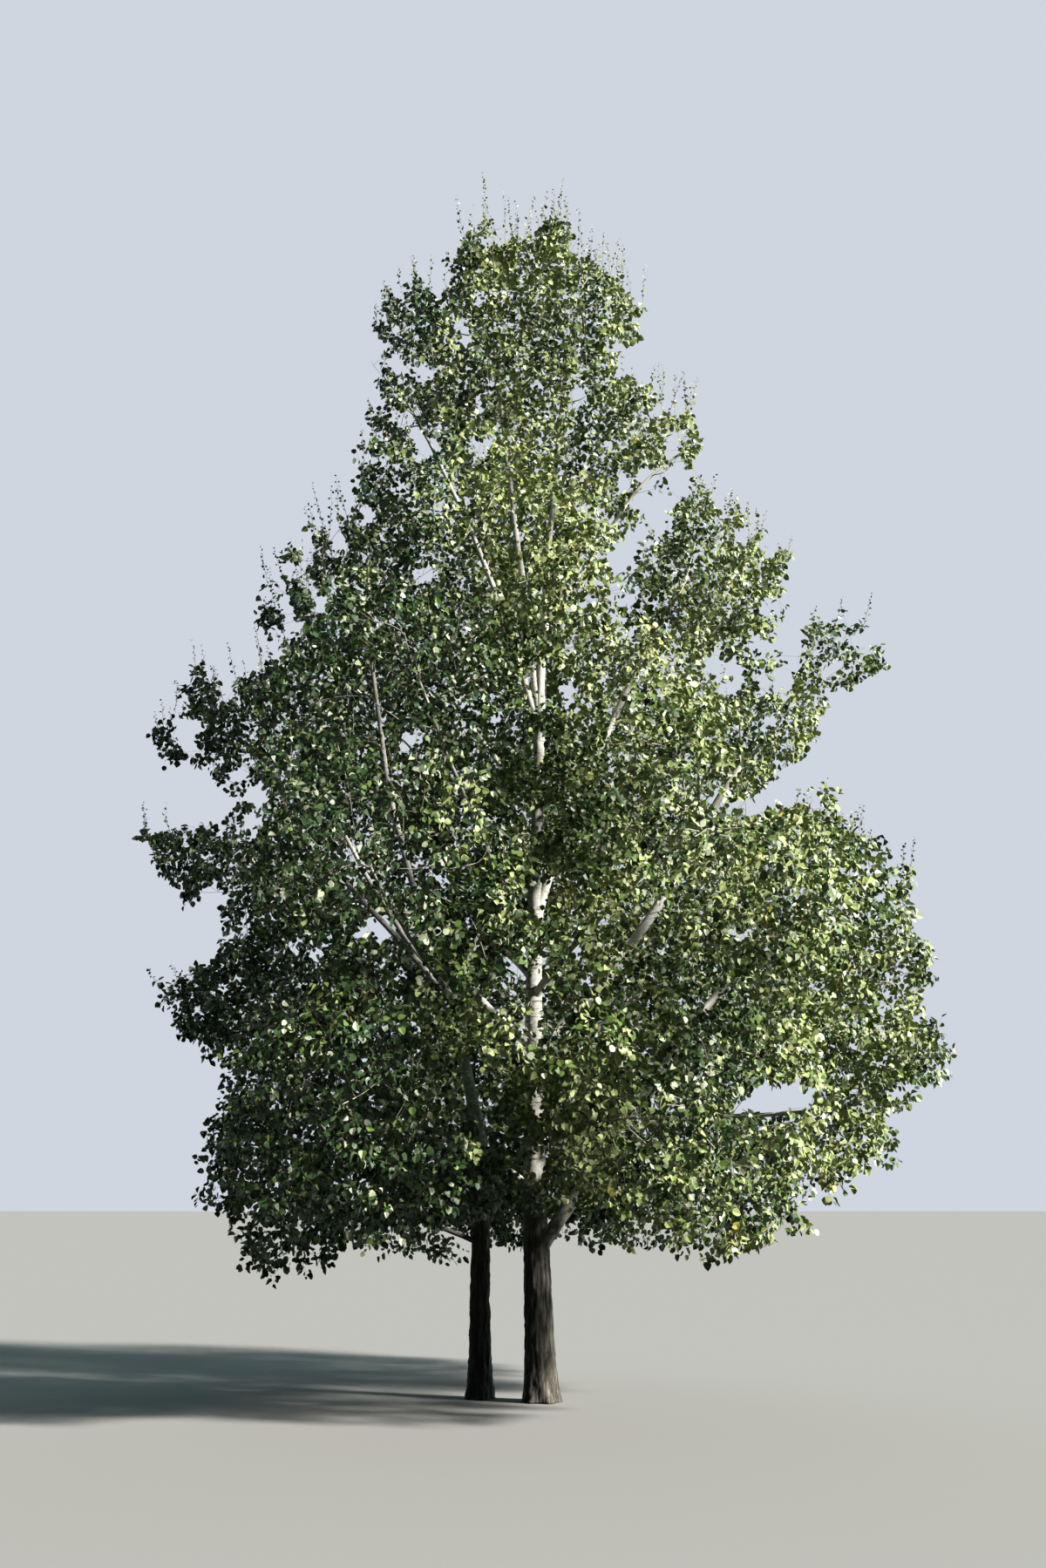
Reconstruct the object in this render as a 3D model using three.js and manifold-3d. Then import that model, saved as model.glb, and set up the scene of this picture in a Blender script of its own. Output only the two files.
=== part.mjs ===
// Quaking aspen, an open-grown tree in full late-summer leaf, rooted in level ground.
// Two stems rise from one root: a main trunk that divides into leaders about half way up, and a thinner
// second stem that stands half a metre to its left and forks low down. Ascending boughs run out from both
// to separate masses of leaves round an open middle, and the crown narrows to two spires at the top.
//
// Millimetres, +Z up. The origin is the middle of the trunk's flat cut at ground level.
// +X is to the right and +Y is away, as seen by someone who faces the front of the tree.
import * as THREE from "three";
import { mergeVertices } from "three/addons/utils/BufferGeometryUtils.js";
import Module from "manifold-3d";

const wasm = await Module();
wasm.setup();

// ---- Driving dimensions -------------------------------------------------------------------------

const M = 1000; // millimetres in a metre, for the tables below
const LIMB_GAP = 0.5; // clearance where one limb is cut to sit against another
const MASS_GAP = 36; // air between two neighbouring masses of leaves
const TUNNEL_GAP = 10; // air round a stem that runs up through a mass
const BOUGH_SIDES = 6;
const BOUGH_STEPS = 6;
const BLOB_DETAIL = 2; // 180 faces before cutting
const UNEVEN = 0.14; // depth of the lumps on a mass, as a share of its radius
const TIP_SPREAD = 0.34; // how wide a pointed tip's foot is, in radians
const FLAT_FOOT = 0.86; // the underside of a mass is flatter than its top
const FACET = 27; // faces closer to flat than this are joined after cutting

// The trunk: height to its upper fork, radii, root flare and gentle sway.
const TRUNK = {
  height: 6.12,
  rBase: 0.135,
  rTop: 0.05,
  taper: 1.45,
  flare: 0.052,
  flareHeight: 0.17,
  toes: 5,
  lean: [-0.03, 0.03],
  bend: [0, 6.12],
  sway: -0.05,
  swayLength: 10,
  foot: [0, 0],
  sides: 15,
  steps: 12,
};
// The second stem: it starts behind and to the left of the trunk, and bends away above head height.
const SECOND = {
  height: 3.52,
  rBase: 0.104,
  rTop: 0.042,
  taper: 1.1,
  flare: 0.034,
  flareHeight: 0.14,
  toes: 4,
  lean: [-0.205, 0.07],
  bend: [1.9, 3.3],
  sway: -0.006,
  swayLength: 3.4,
  foot: [-0.53, 0.25],
  sides: 12,
  steps: 10,
};

// Boughs. Each leaves its parent at a height (on a stem) or a share of the way along (on a bough), and
// runs to an end point, with the angle above level at which it leaves and at which it arrives.
//  name, parent, where, end [x, y, z] m, radius at its foot and at its end m, angles deg
const BOUGHS = [
  ["leader_left", "trunk", 5.98, [-1.3, -0.05, 9.35], 0.036, 0.013, 74, 62],
  ["leader_middle", "trunk", 6.06, [-0.46, 0.1, 10.1], 0.041, 0.013, 84, 84],
  ["leader_right", "trunk", 6.04, [0.28, 0.06, 9.9], 0.044, 0.013, 88, 84],
  ["leader_low_right", "trunk", 4.14, [1.42, -0.1, 7.5], 0.047, 0.02, 74, 62],
  ["bough_top_right", "leader_right", 0.27, [1.4, 0.02, 8.85], 0.024, 0.011, 44, 34],
  ["bough_right_low", "trunk", 1.24, [2.6, 0.3, 4.4], 0.062, 0.022, 52, 36],
  ["bough_right_big", "trunk", 2.96, [1.86, -0.12, 5.6], 0.056, 0.03, 40, 58],
  ["bough_right_droop", "trunk", 1.86, [2.56, -0.1, 2.46], 0.036, 0.015, 42, 8],
  ["bough_left_upper", "trunk", 3.02, [-1.62, -0.34, 7.0], 0.05, 0.018, 34, 82],
  ["bough_left_lower", "trunk", 2.86, [-2.36, -0.62, 5.0], 0.048, 0.017, 32, 38],
  ["bough_left_low", "trunk", 1.76, [-1.7, -0.75, 2.35], 0.036, 0.016, 36, 8],
  ["bough_left_high", "trunk", 5.2, [-1.95, 0.2, 8.1], 0.032, 0.014, 52, 58],
  ["second_fork_left", "second_stem", 3.44, [-2.3, 0.3, 5.9], 0.036, 0.016, 46, 62],
  ["second_fork_right", "second_stem", 3.4, [-0.35, 1.4, 5.6], 0.031, 0.014, 58, 62],
  ["second_arm_left", "second_stem", 2.28, [-2.5, 0.1, 3.45], 0.03, 0.014, 52, 6],
  ["second_skirt_left", "second_stem", 1.3, [-2.2, -0.15, 1.66], 0.026, 0.012, 22, -6],
  ["bough_back_left", "trunk", 3.62, [-1.5, 2.1, 4.6], 0.045, 0.018, 40, 20],
  ["bough_back_right", "trunk", 2.5, [1.5, 1.95, 4.1], 0.045, 0.018, 42, 30],
  ["bough_back_low", "trunk", 1.98, [0.35, 2.1, 2.6], 0.038, 0.017, 34, 0],
  ["bough_back_mid_left", "trunk", 4.66, [-1.3, 1.5, 6.2], 0.034, 0.016, 44, 50],
  ["bough_back_mid_right", "trunk", 4.4, [1.3, 1.5, 6.0], 0.034, 0.016, 46, 46],
  ["bough_back_high", "trunk", 5.4, [0.1, 1.25, 7.9], 0.032, 0.015, 48, 66],
  ["bough_front_left", "trunk", 3.9, [-1.1, -1.6, 6.1], 0.034, 0.015, 42, 52],
  ["bough_front_mid_left", "bough_left_lower", 0.3, [-1.4, -1.8, 4.3], 0.028, 0.014, 26, 34],
  ["bough_front_right", "trunk", 3.45, [1.15, -1.85, 4.6], 0.036, 0.016, 38, 30],
  ["bough_front_low", "trunk", 2.2, [0.75, -1.7, 2.3], 0.03, 0.014, 30, 0],
];

// Masses of leaves. Each is a lumpy egg about its own middle, drawn out to the tips that stand
// furthest out of the crown there.
//  name, middle [x, y, z] m, radii [x, y, z] m, how much it narrows upwards, tips [[x, y, z] m, ...]
const MASSES = [
  ["top_left_spire", [-0.6, 0.0, 10.62], [0.42, 0.5, 0.98], 0.5, [[-0.58, 0, 12.0], [-0.86, 0.05, 11.2]]],
  ["top_right_spire", [0.36, 0.02, 10.2], [0.62, 0.56, 0.92], 0.3, [[0.18, 0.02, 11.84], [0.57, 0.05, 11.36], [-0.1, 0.05, 11.42], [0.78, 0.0, 11.1], [1.05, -0.05, 11.04], [1.04, 0.0, 10.4]]],
  ["top_far_left", [-1.22, 0.0, 9.7], [0.54, 0.68, 0.94], 0.1, [[-1.4, 0, 10.98], [-1.62, 0, 10.75], [-1.78, 0.02, 10.05]]],
  ["top_heart", [-0.2, 0.0, 9.2], [0.8, 1.15, 0.82], 0.2, []],
  ["right_top", [0.98, 0.0, 8.84], [0.6, 0.8, 0.58], 0.1, [[1.57, 0, 9.26], [1.3, -0.1, 9.55]]],
  ["right_shoulder", [1.66, 0.0, 7.48], [0.74, 1.05, 0.68], 0.15, [[1.58, 0, 8.62], [2.0, 0, 8.3], [2.42, 0, 8.02]]],
  ["right_arm_high", [1.92, -0.1, 5.96], [0.76, 0.85, 0.54], 0.0, [[2.98, 0, 7.3], [3.32, 0, 6.86], [2.6, 0, 7.02], [2.8, 0, 6.35]]],
  ["right_arm_low", [2.15, 0.0, 4.72], [0.8, 0.95, 0.52], 0.0, [[2.78, 0, 5.54], [2.86, 0, 5.1]]],
  ["right_far_low", [2.8, 0.1, 3.92], [0.8, 0.95, 0.56], 0.1, [[3.43, 0.1, 4.97], [3.55, 0.1, 4.3]]],
  ["right_low", [2.5, 0.0, 3.0], [0.94, 1.1, 0.42], 0.0, [[3.48, 0, 2.78]]],
  ["right_droop", [2.5, -0.1, 2.26], [0.5, 0.7, 0.32], 0.0, [[2.95, -0.1, 2.1]]],
  ["left_shoulder", [-1.9, 0.0, 7.42], [0.78, 1.05, 0.78], 0.2, [[-1.92, 0, 8.86], [-2.3, 0, 8.1], [-2.7, 0, 7.7], [-2.74, 0, 7.1]]],
  ["left_arm_high", [-2.6, 0.0, 5.98], [0.82, 0.9, 0.5], 0.0, [[-3.48, 0, 6.62], [-3.76, 0, 5.98], [-2.78, 0, 5.3]]],
  ["left_arm_low", [-2.72, -0.05, 4.66], [0.84, 0.9, 0.44], 0.0, [[-3.8, 0, 5.06]]],
  ["left_low", [-2.42, 0.05, 3.46], [0.84, 0.98, 0.66], 0.1, [[-3.3, 0, 3.74]]],
  ["left_skirt", [-2.08, -0.15, 2.0], [0.76, 1.05, 0.86], -0.05, [[-2.5, -0.15, 1.12], [-2.9, 0, 2.4]]],
  ["front_high_left", [-0.8, -1.05, 7.85], [0.78, 0.76, 0.92], 0.25, []],
  ["front_high_right", [0.12, -1.0, 7.4], [0.54, 0.78, 0.86], 0.2, []],
  ["front_middle_left", [-1.35, -1.4, 6.12], [1.0, 1.0, 0.94], 0.2, []],
  ["front_middle_right", [0.88, -1.5, 5.58], [0.64, 0.92, 0.78], 0.1, []],
  ["front_left_low", [-1.38, -1.95, 4.42], [1.12, 1.05, 0.92], 0.15, []],
  ["front_right_low", [1.36, -2.0, 4.12], [1.12, 1.05, 0.9], 0.15, []],
  ["front_left_skirt", [-1.34, -1.75, 2.25], [1.12, 1.1, 1.0], 0.0, []],
  ["front_right_skirt", [1.3, -1.7, 2.2], [1.12, 1.1, 0.96], 0.0, []],
  ["front_centre_low", [-0.02, -2.45, 3.15], [0.7, 0.72, 0.66], 0.1, []],
  ["back_high", [-0.28, 1.3, 7.62], [1.02, 0.95, 1.06], 0.25, []],
  ["back_middle_left", [-1.5, 1.6, 6.12], [1.05, 1.02, 1.0], 0.2, []],
  ["back_middle_right", [1.45, 1.6, 5.95], [1.05, 1.02, 0.96], 0.2, []],
  ["back_middle", [-0.05, 1.9, 5.55], [0.92, 0.95, 1.2], 0.2, []],
  ["back_left_low", [-1.5, 2.1, 4.0], [1.3, 1.12, 0.98], 0.15, []],
  ["back_right_low", [1.45, 2.1, 3.9], [1.3, 1.12, 0.98], 0.15, []],
  ["back_skirt", [0.0, 2.05, 2.15], [2.4, 1.12, 0.95], 0.0, [[-2.3, 1.3, 1.5], [2.2, 1.4, 1.45], [0.6, 2.9, 1.35]]],
];

// ---- Helpers ------------------------------------------------------------------------------------

const V = (x, y, z) => new THREE.Vector3(x, y, z);
const rad = THREE.MathUtils.degToRad;

// A closed solid from a geometry's positions alone.
function solid(geometry) {
  const g = geometry.clone();
  g.deleteAttribute("normal");
  g.deleteAttribute("uv");
  const m = mergeVertices(g, 1e-3);
  return new wasm.Manifold(
    new wasm.Mesh({
      numProp: 3,
      vertProperties: new Float32Array(m.attributes.position.array),
      triVerts: new Uint32Array(m.index.array),
    }),
  );
}

function geometryOf(manifold) {
  const m = manifold.getMesh();
  const p = new Float32Array(m.numVert * 3);
  for (let i = 0; i < m.numVert; i++)
    p.set(m.vertProperties.subarray(i * m.numProp, i * m.numProp + 3), i * 3);
  const g = new THREE.BufferGeometry();
  g.setAttribute("position", new THREE.BufferAttribute(p, 3));
  g.setIndex(new THREE.BufferAttribute(new Uint32Array(m.triVerts), 1));
  g.computeVertexNormals();
  return g;
}

// The piece of a cut solid that holds the most material.
function largest(manifold) {
  const parts = manifold.decompose();
  return parts.reduce((a, b) => (b.volume() > a.volume() ? b : a));
}

// The piece of a cut bough that is nearest its foot.
function nearestTo(manifold, point) {
  let best = null;
  let least = Infinity;
  for (const p of manifold.decompose()) {
    if (p.volume() < 1e4) continue;
    const m = p.getMesh();
    for (let i = 0; i < m.numVert; i++) {
      const d = Math.hypot(
        m.vertProperties[i * m.numProp] - point.x,
        m.vertProperties[i * m.numProp + 1] - point.y,
        m.vertProperties[i * m.numProp + 2] - point.z,
      );
      if (d < least) {
        least = d;
        best = p;
      }
    }
  }
  return best;
}

// ---- Stems and boughs ---------------------------------------------------------------------------

function stemPoint(s, z) {
  const t = Math.min(1, Math.max(0, (z - s.bend[0]) / (s.bend[1] - s.bend[0])));
  const ease = t * t * (3 - 2 * t);
  const turn = (2 * Math.PI * z) / s.swayLength;
  return V(
    s.foot[0] + s.lean[0] * ease + s.sway * Math.sin(turn),
    s.foot[1] + s.lean[1] * ease + s.sway * (1 - Math.cos(turn)) * 0.5,
    z,
  ).multiplyScalar(M);
}

function stemRadius(s, z, angle) {
  const t = Math.min(1, Math.max(0, z / s.height));
  const body = s.rTop + (s.rBase - s.rTop) * Math.pow(1 - t, s.taper);
  const toe = 0.62 + 0.38 * Math.cos(s.toes * angle + 0.7);
  return M * (body + s.flare * Math.exp(-z / s.flareHeight) * toe);
}

// A stem is a cylinder whose rings are moved on to its line, closer together at the root flare.
function stemSolid(s, extra) {
  const g = new THREE.CylinderGeometry(1, 1, 1, s.sides, s.steps, false);
  const p = g.attributes.position;
  for (let i = 0; i < p.count; i++) {
    const t = p.getY(i) + 0.5;
    const a = Math.atan2(p.getZ(i), p.getX(i));
    const q = Math.hypot(p.getX(i), p.getZ(i));
    const z = s.height * Math.pow(t, 1.55);
    const c = stemPoint(s, z);
    const r = (stemRadius(s, z, a) + extra) * q;
    p.setXYZ(i, c.x + r * Math.cos(a), c.y - r * Math.sin(a), c.z);
  }
  return solid(g);
}

const curves = new Map();

function boughCurve([, parent, where, end, , , leave, arrive]) {
  const a =
    parent === "trunk"
      ? stemPoint(TRUNK, where)
      : parent === "second_stem"
        ? stemPoint(SECOND, where)
        : curves.get(parent).getPoint(where);
  const b = V(...end).multiplyScalar(M);
  const level = V(b.x - a.x, b.y - a.y, 0).normalize();
  const reach = a.distanceTo(b) * 0.38;
  const way = (deg) =>
    level
      .clone()
      .multiplyScalar(Math.cos(rad(deg)))
      .add(V(0, 0, Math.sin(rad(deg))))
      .multiplyScalar(reach);
  return new THREE.CubicBezierCurve3(
    a,
    a.clone().add(way(leave)),
    b.clone().sub(way(arrive)),
    b,
  );
}

function boughRadius([, , , , r0, r1], t) {
  return M * (r1 + (r0 - r1) * Math.pow(1 - t, 0.9) + 0.16 * r0 * Math.exp(-t / 0.035));
}

// A bough is a cylinder bent along its curve, thicker at its collar and tapering to its end.
function boughSolid(row, extra) {
  const curve = curves.get(row[0]);
  const g = new THREE.CylinderGeometry(1, 1, 1, BOUGH_SIDES, BOUGH_STEPS, false);
  const p = g.attributes.position;
  const side = V(0, 0, 0);
  const over = V(0, 0, 0);
  for (let i = 0; i < p.count; i++) {
    const t = p.getY(i) + 0.5;
    const a = Math.atan2(p.getZ(i), p.getX(i));
    const q = Math.hypot(p.getX(i), p.getZ(i));
    const c = curve.getPoint(t);
    const along = curve.getTangent(t);
    side.crossVectors(along, V(0, 0, 1)).normalize();
    over.crossVectors(side, along).normalize();
    const r = (boughRadius(row, t) + extra) * q;
    const u = Math.cos(a) * r;
    const v = Math.sin(a) * r;
    p.setXYZ(
      i,
      c.x + side.x * u + over.x * v,
      c.y + side.y * u + over.y * v,
      c.z + side.z * u + over.z * v,
    );
  }
  const made = solid(g);
  if (made.volume() > 0) return made;
  throw new Error(row[0] + " is inside out");
}

// ---- Masses -------------------------------------------------------------------------------------

// Lumps over a sphere of directions, different for each mass: six waves that cross at odd angles.
function lumps(d, seed) {
  let sum = 0;
  for (let k = 0; k < 6; k++) {
    const turn = seed * 2.4 + k * 2.39996;
    const rise = Math.sin(seed * 1.3 + k * 1.9) * 0.9;
    const flat = Math.sqrt(1 - rise * rise);
    const along = d.x * flat * Math.cos(turn) + d.y * flat * Math.sin(turn) + d.z * rise;
    sum += Math.sin((2.4 + 0.85 * k) * along + seed * 0.7 + k) / (1 + 0.12 * k);
  }
  return Math.max(-1, Math.min(1, sum * 0.62)) * UNEVEN;
}

function blob(row, index) {
  const [, middle, radii, narrow, tips] = row;
  const g = mergeVertices(
    (() => {
      const s = new THREE.IcosahedronGeometry(1, BLOB_DETAIL);
      s.deleteAttribute("normal");
      s.deleteAttribute("uv");
      return s;
    })(),
    1e-4,
  );
  const c = V(...middle);
  const p = g.attributes.position;
  const points = tips.map((t) => V(...t).sub(c));
  const ways = [];
  const dir = V(0, 0, 0);
  for (let i = 0; i < p.count; i++) {
    dir.fromBufferAttribute(p, i).normalize();
    const slim = 1 - narrow * dir.z;
    const foot = dir.z < 0 ? FLAT_FOOT : 1;
    const q = V(dir.x * radii[0] * slim, dir.y * radii[1] * slim, dir.z * radii[2] * foot);
    let r = q.length() * (1 + lumps(dir, index + 1));
    const way = q.clone().normalize();
    points.forEach((t) => {
      const near = way.angleTo(t) / TIP_SPREAD;
      r += Math.max(0, t.length() * 0.86 - r) * Math.exp(-near * near);
    });
    ways.push(way);
    p.setXYZ(i, way.x * r, way.y * r, way.z * r);
  }
  // Each tip takes the free corner that lies most nearly its way.
  for (const t of points) {
    let best = -1;
    ways.forEach((way, i) => {
      if (way && (best < 0 || way.angleTo(t) < ways[best].angleTo(t))) best = i;
    });
    ways[best] = null;
    p.setXYZ(best, t.x, t.y, t.z);
  }
  for (let i = 0; i < p.count; i++)
    p.setXYZ(i, (p.getX(i) + c.x) * M, (p.getY(i) + c.y) * M, (p.getZ(i) + c.z) * M);
  return solid(g);
}

// How far an egg with these radii reaches from its middle along a direction.
const reachOf = (radii, n) =>
  1 / Math.hypot(n.x / radii[0], n.y / radii[1], n.z / radii[2]);

// A block that fills everything on the far side of a plane.
function beyond(point, normal) {
  const size = 30 * M;
  const g = new THREE.BoxGeometry(size, size, size);
  g.translate(0, 0, size / 2);
  g.applyQuaternion(new THREE.Quaternion().setFromUnitVectors(V(0, 0, 1), normal));
  g.translate(point.x, point.y, point.z);
  return solid(g);
}

// ---- Assembly -----------------------------------------------------------------------------------

const bark = new THREE.MeshStandardMaterial({ color: 0xb9b8a8, roughness: 0.85, metalness: 0 });
const darkBark = new THREE.MeshStandardMaterial({ color: 0x6d6a5e, roughness: 0.92, metalness: 0 });
const leaf = new THREE.MeshStandardMaterial({ color: 0x5f7a3a, roughness: 0.6, metalness: 0 });

const tree = new THREE.Group();
const put = (name, manifold, material) => {
  const mesh = new THREE.Mesh(geometryOf(manifold), material);
  mesh.name = name;
  tree.add(mesh);
};

// Neighbouring masses part along a flat gap, in proportion to their sizes.
const blobs = MASSES.map((row, i) => blob(row, i));
const masses = blobs.slice();
for (let i = 0; i < blobs.length; i++)
  for (let j = i + 1; j < blobs.length; j++) {
    if (blobs[i].intersect(blobs[j]).volume() <= 0) continue;
    const a = V(...MASSES[i][1]);
    const b = V(...MASSES[j][1]);
    const way = b.clone().sub(a).normalize();
    const ra = reachOf(MASSES[i][2], way);
    const rb = reachOf(MASSES[j][2], way);
    const at = a.clone().lerp(b, ra / (ra + rb)).multiplyScalar(M);
    const wide = (k) => Math.pow(MASSES[i][2][k] + MASSES[j][2][k], -2);
    const n = V(way.x * wide(0), way.y * wide(1), way.z * wide(2)).normalize();
    const back = n.clone().negate();
    const half = MASS_GAP / 2;
    masses[i] = largest(
      masses[i].subtract(beyond(at.clone().addScaledVector(n, -half), n)),
    );
    masses[j] = largest(
      masses[j].subtract(beyond(at.clone().addScaledVector(n, half), back)),
    );
  }

const stems = [
  ["trunk", stemSolid(TRUNK, 0), stemSolid(TRUNK, LIMB_GAP), stemSolid(TRUNK, TUNNEL_GAP)],
  ["second_stem", stemSolid(SECOND, 0), stemSolid(SECOND, LIMB_GAP), stemSolid(SECOND, TUNNEL_GAP)],
];
put("trunk", stems[0][1], darkBark);
put("second_stem", stems[1][1], darkBark);

masses.forEach((m, i) => (masses[i] = m.simplify(FACET)));

// The masses as they were before any stem was let through, a hair larger, to stop the boughs at them.
const stops = masses.map((m, i) => {
  const c = MASSES[i][1].map((x) => x * M);
  return m.translate([-c[0], -c[1], -c[2]]).scale([1.004, 1.004, 1.004]).translate(c);
});

const taken = stems.map((s) => s[2]);
for (const row of BOUGHS) {
  curves.set(row[0], boughCurve(row));
  let made = boughSolid(row, 0);
  const foot = curves.get(row[0]).getPoint(0);
  for (const t of taken)
    if (made.intersect(t).volume() > 0) made = made.subtract(t);
  for (const s of stops)
    if (made.intersect(s).volume() > 0) made = made.subtract(s);
  const kept = nearestTo(made, foot);
  taken.push(boughSolid(row, LIMB_GAP));
  put(row[0], kept, bark);
}

masses.forEach((m, i) => {
  let made = m;
  for (const s of stems)
    if (made.intersect(s[3]).volume() > 0) made = made.subtract(s[3]);
  put("leaves_" + MASSES[i][0], largest(made), leaf);
});

export default tree;
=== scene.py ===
"""Looks of the quaking aspen: bark with relief on the stems and boughs, and, in place of the plain masses,
branches, twigs and single leaves that grow on from the boughs by a seeded rule. Metres, in the row frame."""

import math
import random

import bpy
import numpy as np
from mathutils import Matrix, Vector, kdtree, noise
from mathutils.bvhtree import BVHTree


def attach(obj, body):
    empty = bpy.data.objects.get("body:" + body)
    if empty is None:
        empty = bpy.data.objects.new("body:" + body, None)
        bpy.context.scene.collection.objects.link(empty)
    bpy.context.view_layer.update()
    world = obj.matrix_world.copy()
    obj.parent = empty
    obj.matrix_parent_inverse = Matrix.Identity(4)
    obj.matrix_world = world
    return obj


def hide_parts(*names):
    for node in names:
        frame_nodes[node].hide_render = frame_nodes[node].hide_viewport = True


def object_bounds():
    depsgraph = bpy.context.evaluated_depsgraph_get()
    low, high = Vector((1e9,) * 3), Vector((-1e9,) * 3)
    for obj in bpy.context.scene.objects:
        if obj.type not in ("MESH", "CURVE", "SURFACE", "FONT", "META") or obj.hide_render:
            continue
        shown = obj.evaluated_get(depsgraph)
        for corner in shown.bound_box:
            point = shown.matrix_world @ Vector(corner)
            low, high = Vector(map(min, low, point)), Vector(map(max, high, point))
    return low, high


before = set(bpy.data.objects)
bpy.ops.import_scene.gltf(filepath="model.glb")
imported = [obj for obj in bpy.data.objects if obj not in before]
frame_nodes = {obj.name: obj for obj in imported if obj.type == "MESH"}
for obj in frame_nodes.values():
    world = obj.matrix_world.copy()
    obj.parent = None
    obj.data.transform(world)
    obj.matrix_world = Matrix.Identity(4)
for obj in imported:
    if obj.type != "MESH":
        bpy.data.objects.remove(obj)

cad_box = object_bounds()
LOW, HIGH = (np.array([float(v) for v in p]) for p in cad_box)
rng = np.random.default_rng(20)
dice = random.Random(20)

# ---- How much of everything ----------------------------------------------------------------------

BRANCHES = 400  # first order, grown on from the boughs
TWIGS = 2600  # second order
SHOOTS = 12600  # leafy shoots, the last order of branching
SPIKES = 480  # thin upright shoots that stand out of the upper sides of the crown
LEAF = 0.051  # blade length, m

# ---- Camera: eye height 1.6 m, 15 m in front, tilted up -------------------------------------------

EYE = Vector((-0.157, -15.0, 1.6))
TILT = math.radians(14.45)
FOCAL_PX = 1892.0  # in the 1200 x 1799 picture

camera = bpy.data.objects.new("camera", bpy.data.cameras.new("camera"))
camera.data.sensor_width = 36
camera.data.sensor_fit = "AUTO"
camera.data.lens = 36 * FOCAL_PX / 1799
camera.data.clip_end = 4000
camera.location = EYE
camera.rotation_euler = (math.pi / 2 + TILT, 0, 0)
bpy.context.scene.collection.objects.link(camera)
bpy.context.scene.camera = camera


def seen_at(p):
    """Where points show from the front: metres across and up on the upright plane through the trunk."""
    p = np.atleast_2d(p)
    t = EYE[1] / (EYE[1] - p[:, 1])
    return EYE[0] + (p[:, 0] - EYE[0]) * t, EYE[2] + (p[:, 2] - EYE[2]) * t


SUN_FROM = Vector((0.77, -0.36, 0.53)).normalized()

# ---- Stems and boughs: the same lines as the solids have ------------------------------------------

TRUNK = dict(
    height=6.12, base=0.135, top=0.05, taper=1.45, flare=0.052, flare_height=0.17, toes=5,
    lean=(-0.03, 0.03), bend=(0, 6.12), sway=-0.05, sway_length=10, foot=(0, 0),
)  # fmt: skip
SECOND = dict(
    height=3.52, base=0.104, top=0.042, taper=1.1, flare=0.034, flare_height=0.14, toes=4,
    lean=(-0.205, 0.07), bend=(1.9, 3.3), sway=-0.006, sway_length=3.4, foot=(-0.53, 0.25),
)  # fmt: skip
STEMS = {"trunk": TRUNK, "second_stem": SECOND}

#  name, parent, where, end, radius at its foot and end, angle above level where it leaves and arrives
BOUGHS = [
    ("leader_left", "trunk", 5.98, (-1.3, -0.05, 9.35), 0.036, 0.013, 74, 62),
    ("leader_middle", "trunk", 6.06, (-0.46, 0.1, 10.1), 0.041, 0.013, 84, 84),
    ("leader_right", "trunk", 6.04, (0.28, 0.06, 9.9), 0.044, 0.013, 88, 84),
    ("leader_low_right", "trunk", 4.14, (1.42, -0.1, 7.5), 0.047, 0.02, 74, 62),
    ("bough_top_right", "leader_right", 0.27, (1.4, 0.02, 8.85), 0.024, 0.011, 44, 34),
    ("bough_right_low", "trunk", 1.24, (2.6, 0.3, 4.4), 0.062, 0.022, 52, 36),
    ("bough_right_big", "trunk", 2.96, (1.86, -0.12, 5.6), 0.056, 0.03, 40, 58),
    ("bough_right_droop", "trunk", 1.86, (2.56, -0.1, 2.46), 0.036, 0.015, 42, 8),
    ("bough_left_upper", "trunk", 3.02, (-1.62, -0.34, 7.0), 0.05, 0.018, 34, 82),
    ("bough_left_lower", "trunk", 2.86, (-2.36, -0.62, 5.0), 0.048, 0.017, 32, 38),
    ("bough_left_low", "trunk", 1.76, (-1.7, -0.75, 2.35), 0.036, 0.016, 36, 8),
    ("bough_left_high", "trunk", 5.2, (-1.95, 0.2, 8.1), 0.032, 0.014, 52, 58),
    ("second_fork_left", "second_stem", 3.44, (-2.3, 0.3, 5.9), 0.036, 0.016, 46, 62),
    ("second_fork_right", "second_stem", 3.4, (-0.35, 1.4, 5.6), 0.031, 0.014, 58, 62),
    ("second_arm_left", "second_stem", 2.28, (-2.5, 0.1, 3.45), 0.03, 0.014, 52, 6),
    ("second_skirt_left", "second_stem", 1.3, (-2.2, -0.15, 1.66), 0.026, 0.012, 22, -6),
    ("bough_back_left", "trunk", 3.62, (-1.5, 2.1, 4.6), 0.045, 0.018, 40, 20),
    ("bough_back_right", "trunk", 2.5, (1.5, 1.95, 4.1), 0.045, 0.018, 42, 30),
    ("bough_back_low", "trunk", 1.98, (0.35, 2.1, 2.6), 0.038, 0.017, 34, 0),
    ("bough_back_mid_left", "trunk", 4.66, (-1.3, 1.5, 6.2), 0.034, 0.016, 44, 50),
    ("bough_back_mid_right", "trunk", 4.4, (1.3, 1.5, 6.0), 0.034, 0.016, 46, 46),
    ("bough_back_high", "trunk", 5.4, (0.1, 1.25, 7.9), 0.032, 0.015, 48, 66),
    ("bough_front_left", "trunk", 3.9, (-1.1, -1.6, 6.1), 0.034, 0.015, 42, 52),
    ("bough_front_mid_left", "bough_left_lower", 0.3, (-1.4, -1.8, 4.3), 0.028, 0.014, 26, 34),
    ("bough_front_right", "trunk", 3.45, (1.15, -1.85, 4.6), 0.036, 0.016, 38, 30),
    ("bough_front_low", "trunk", 2.2, (0.75, -1.7, 2.3), 0.03, 0.014, 30, 0),
]


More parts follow.
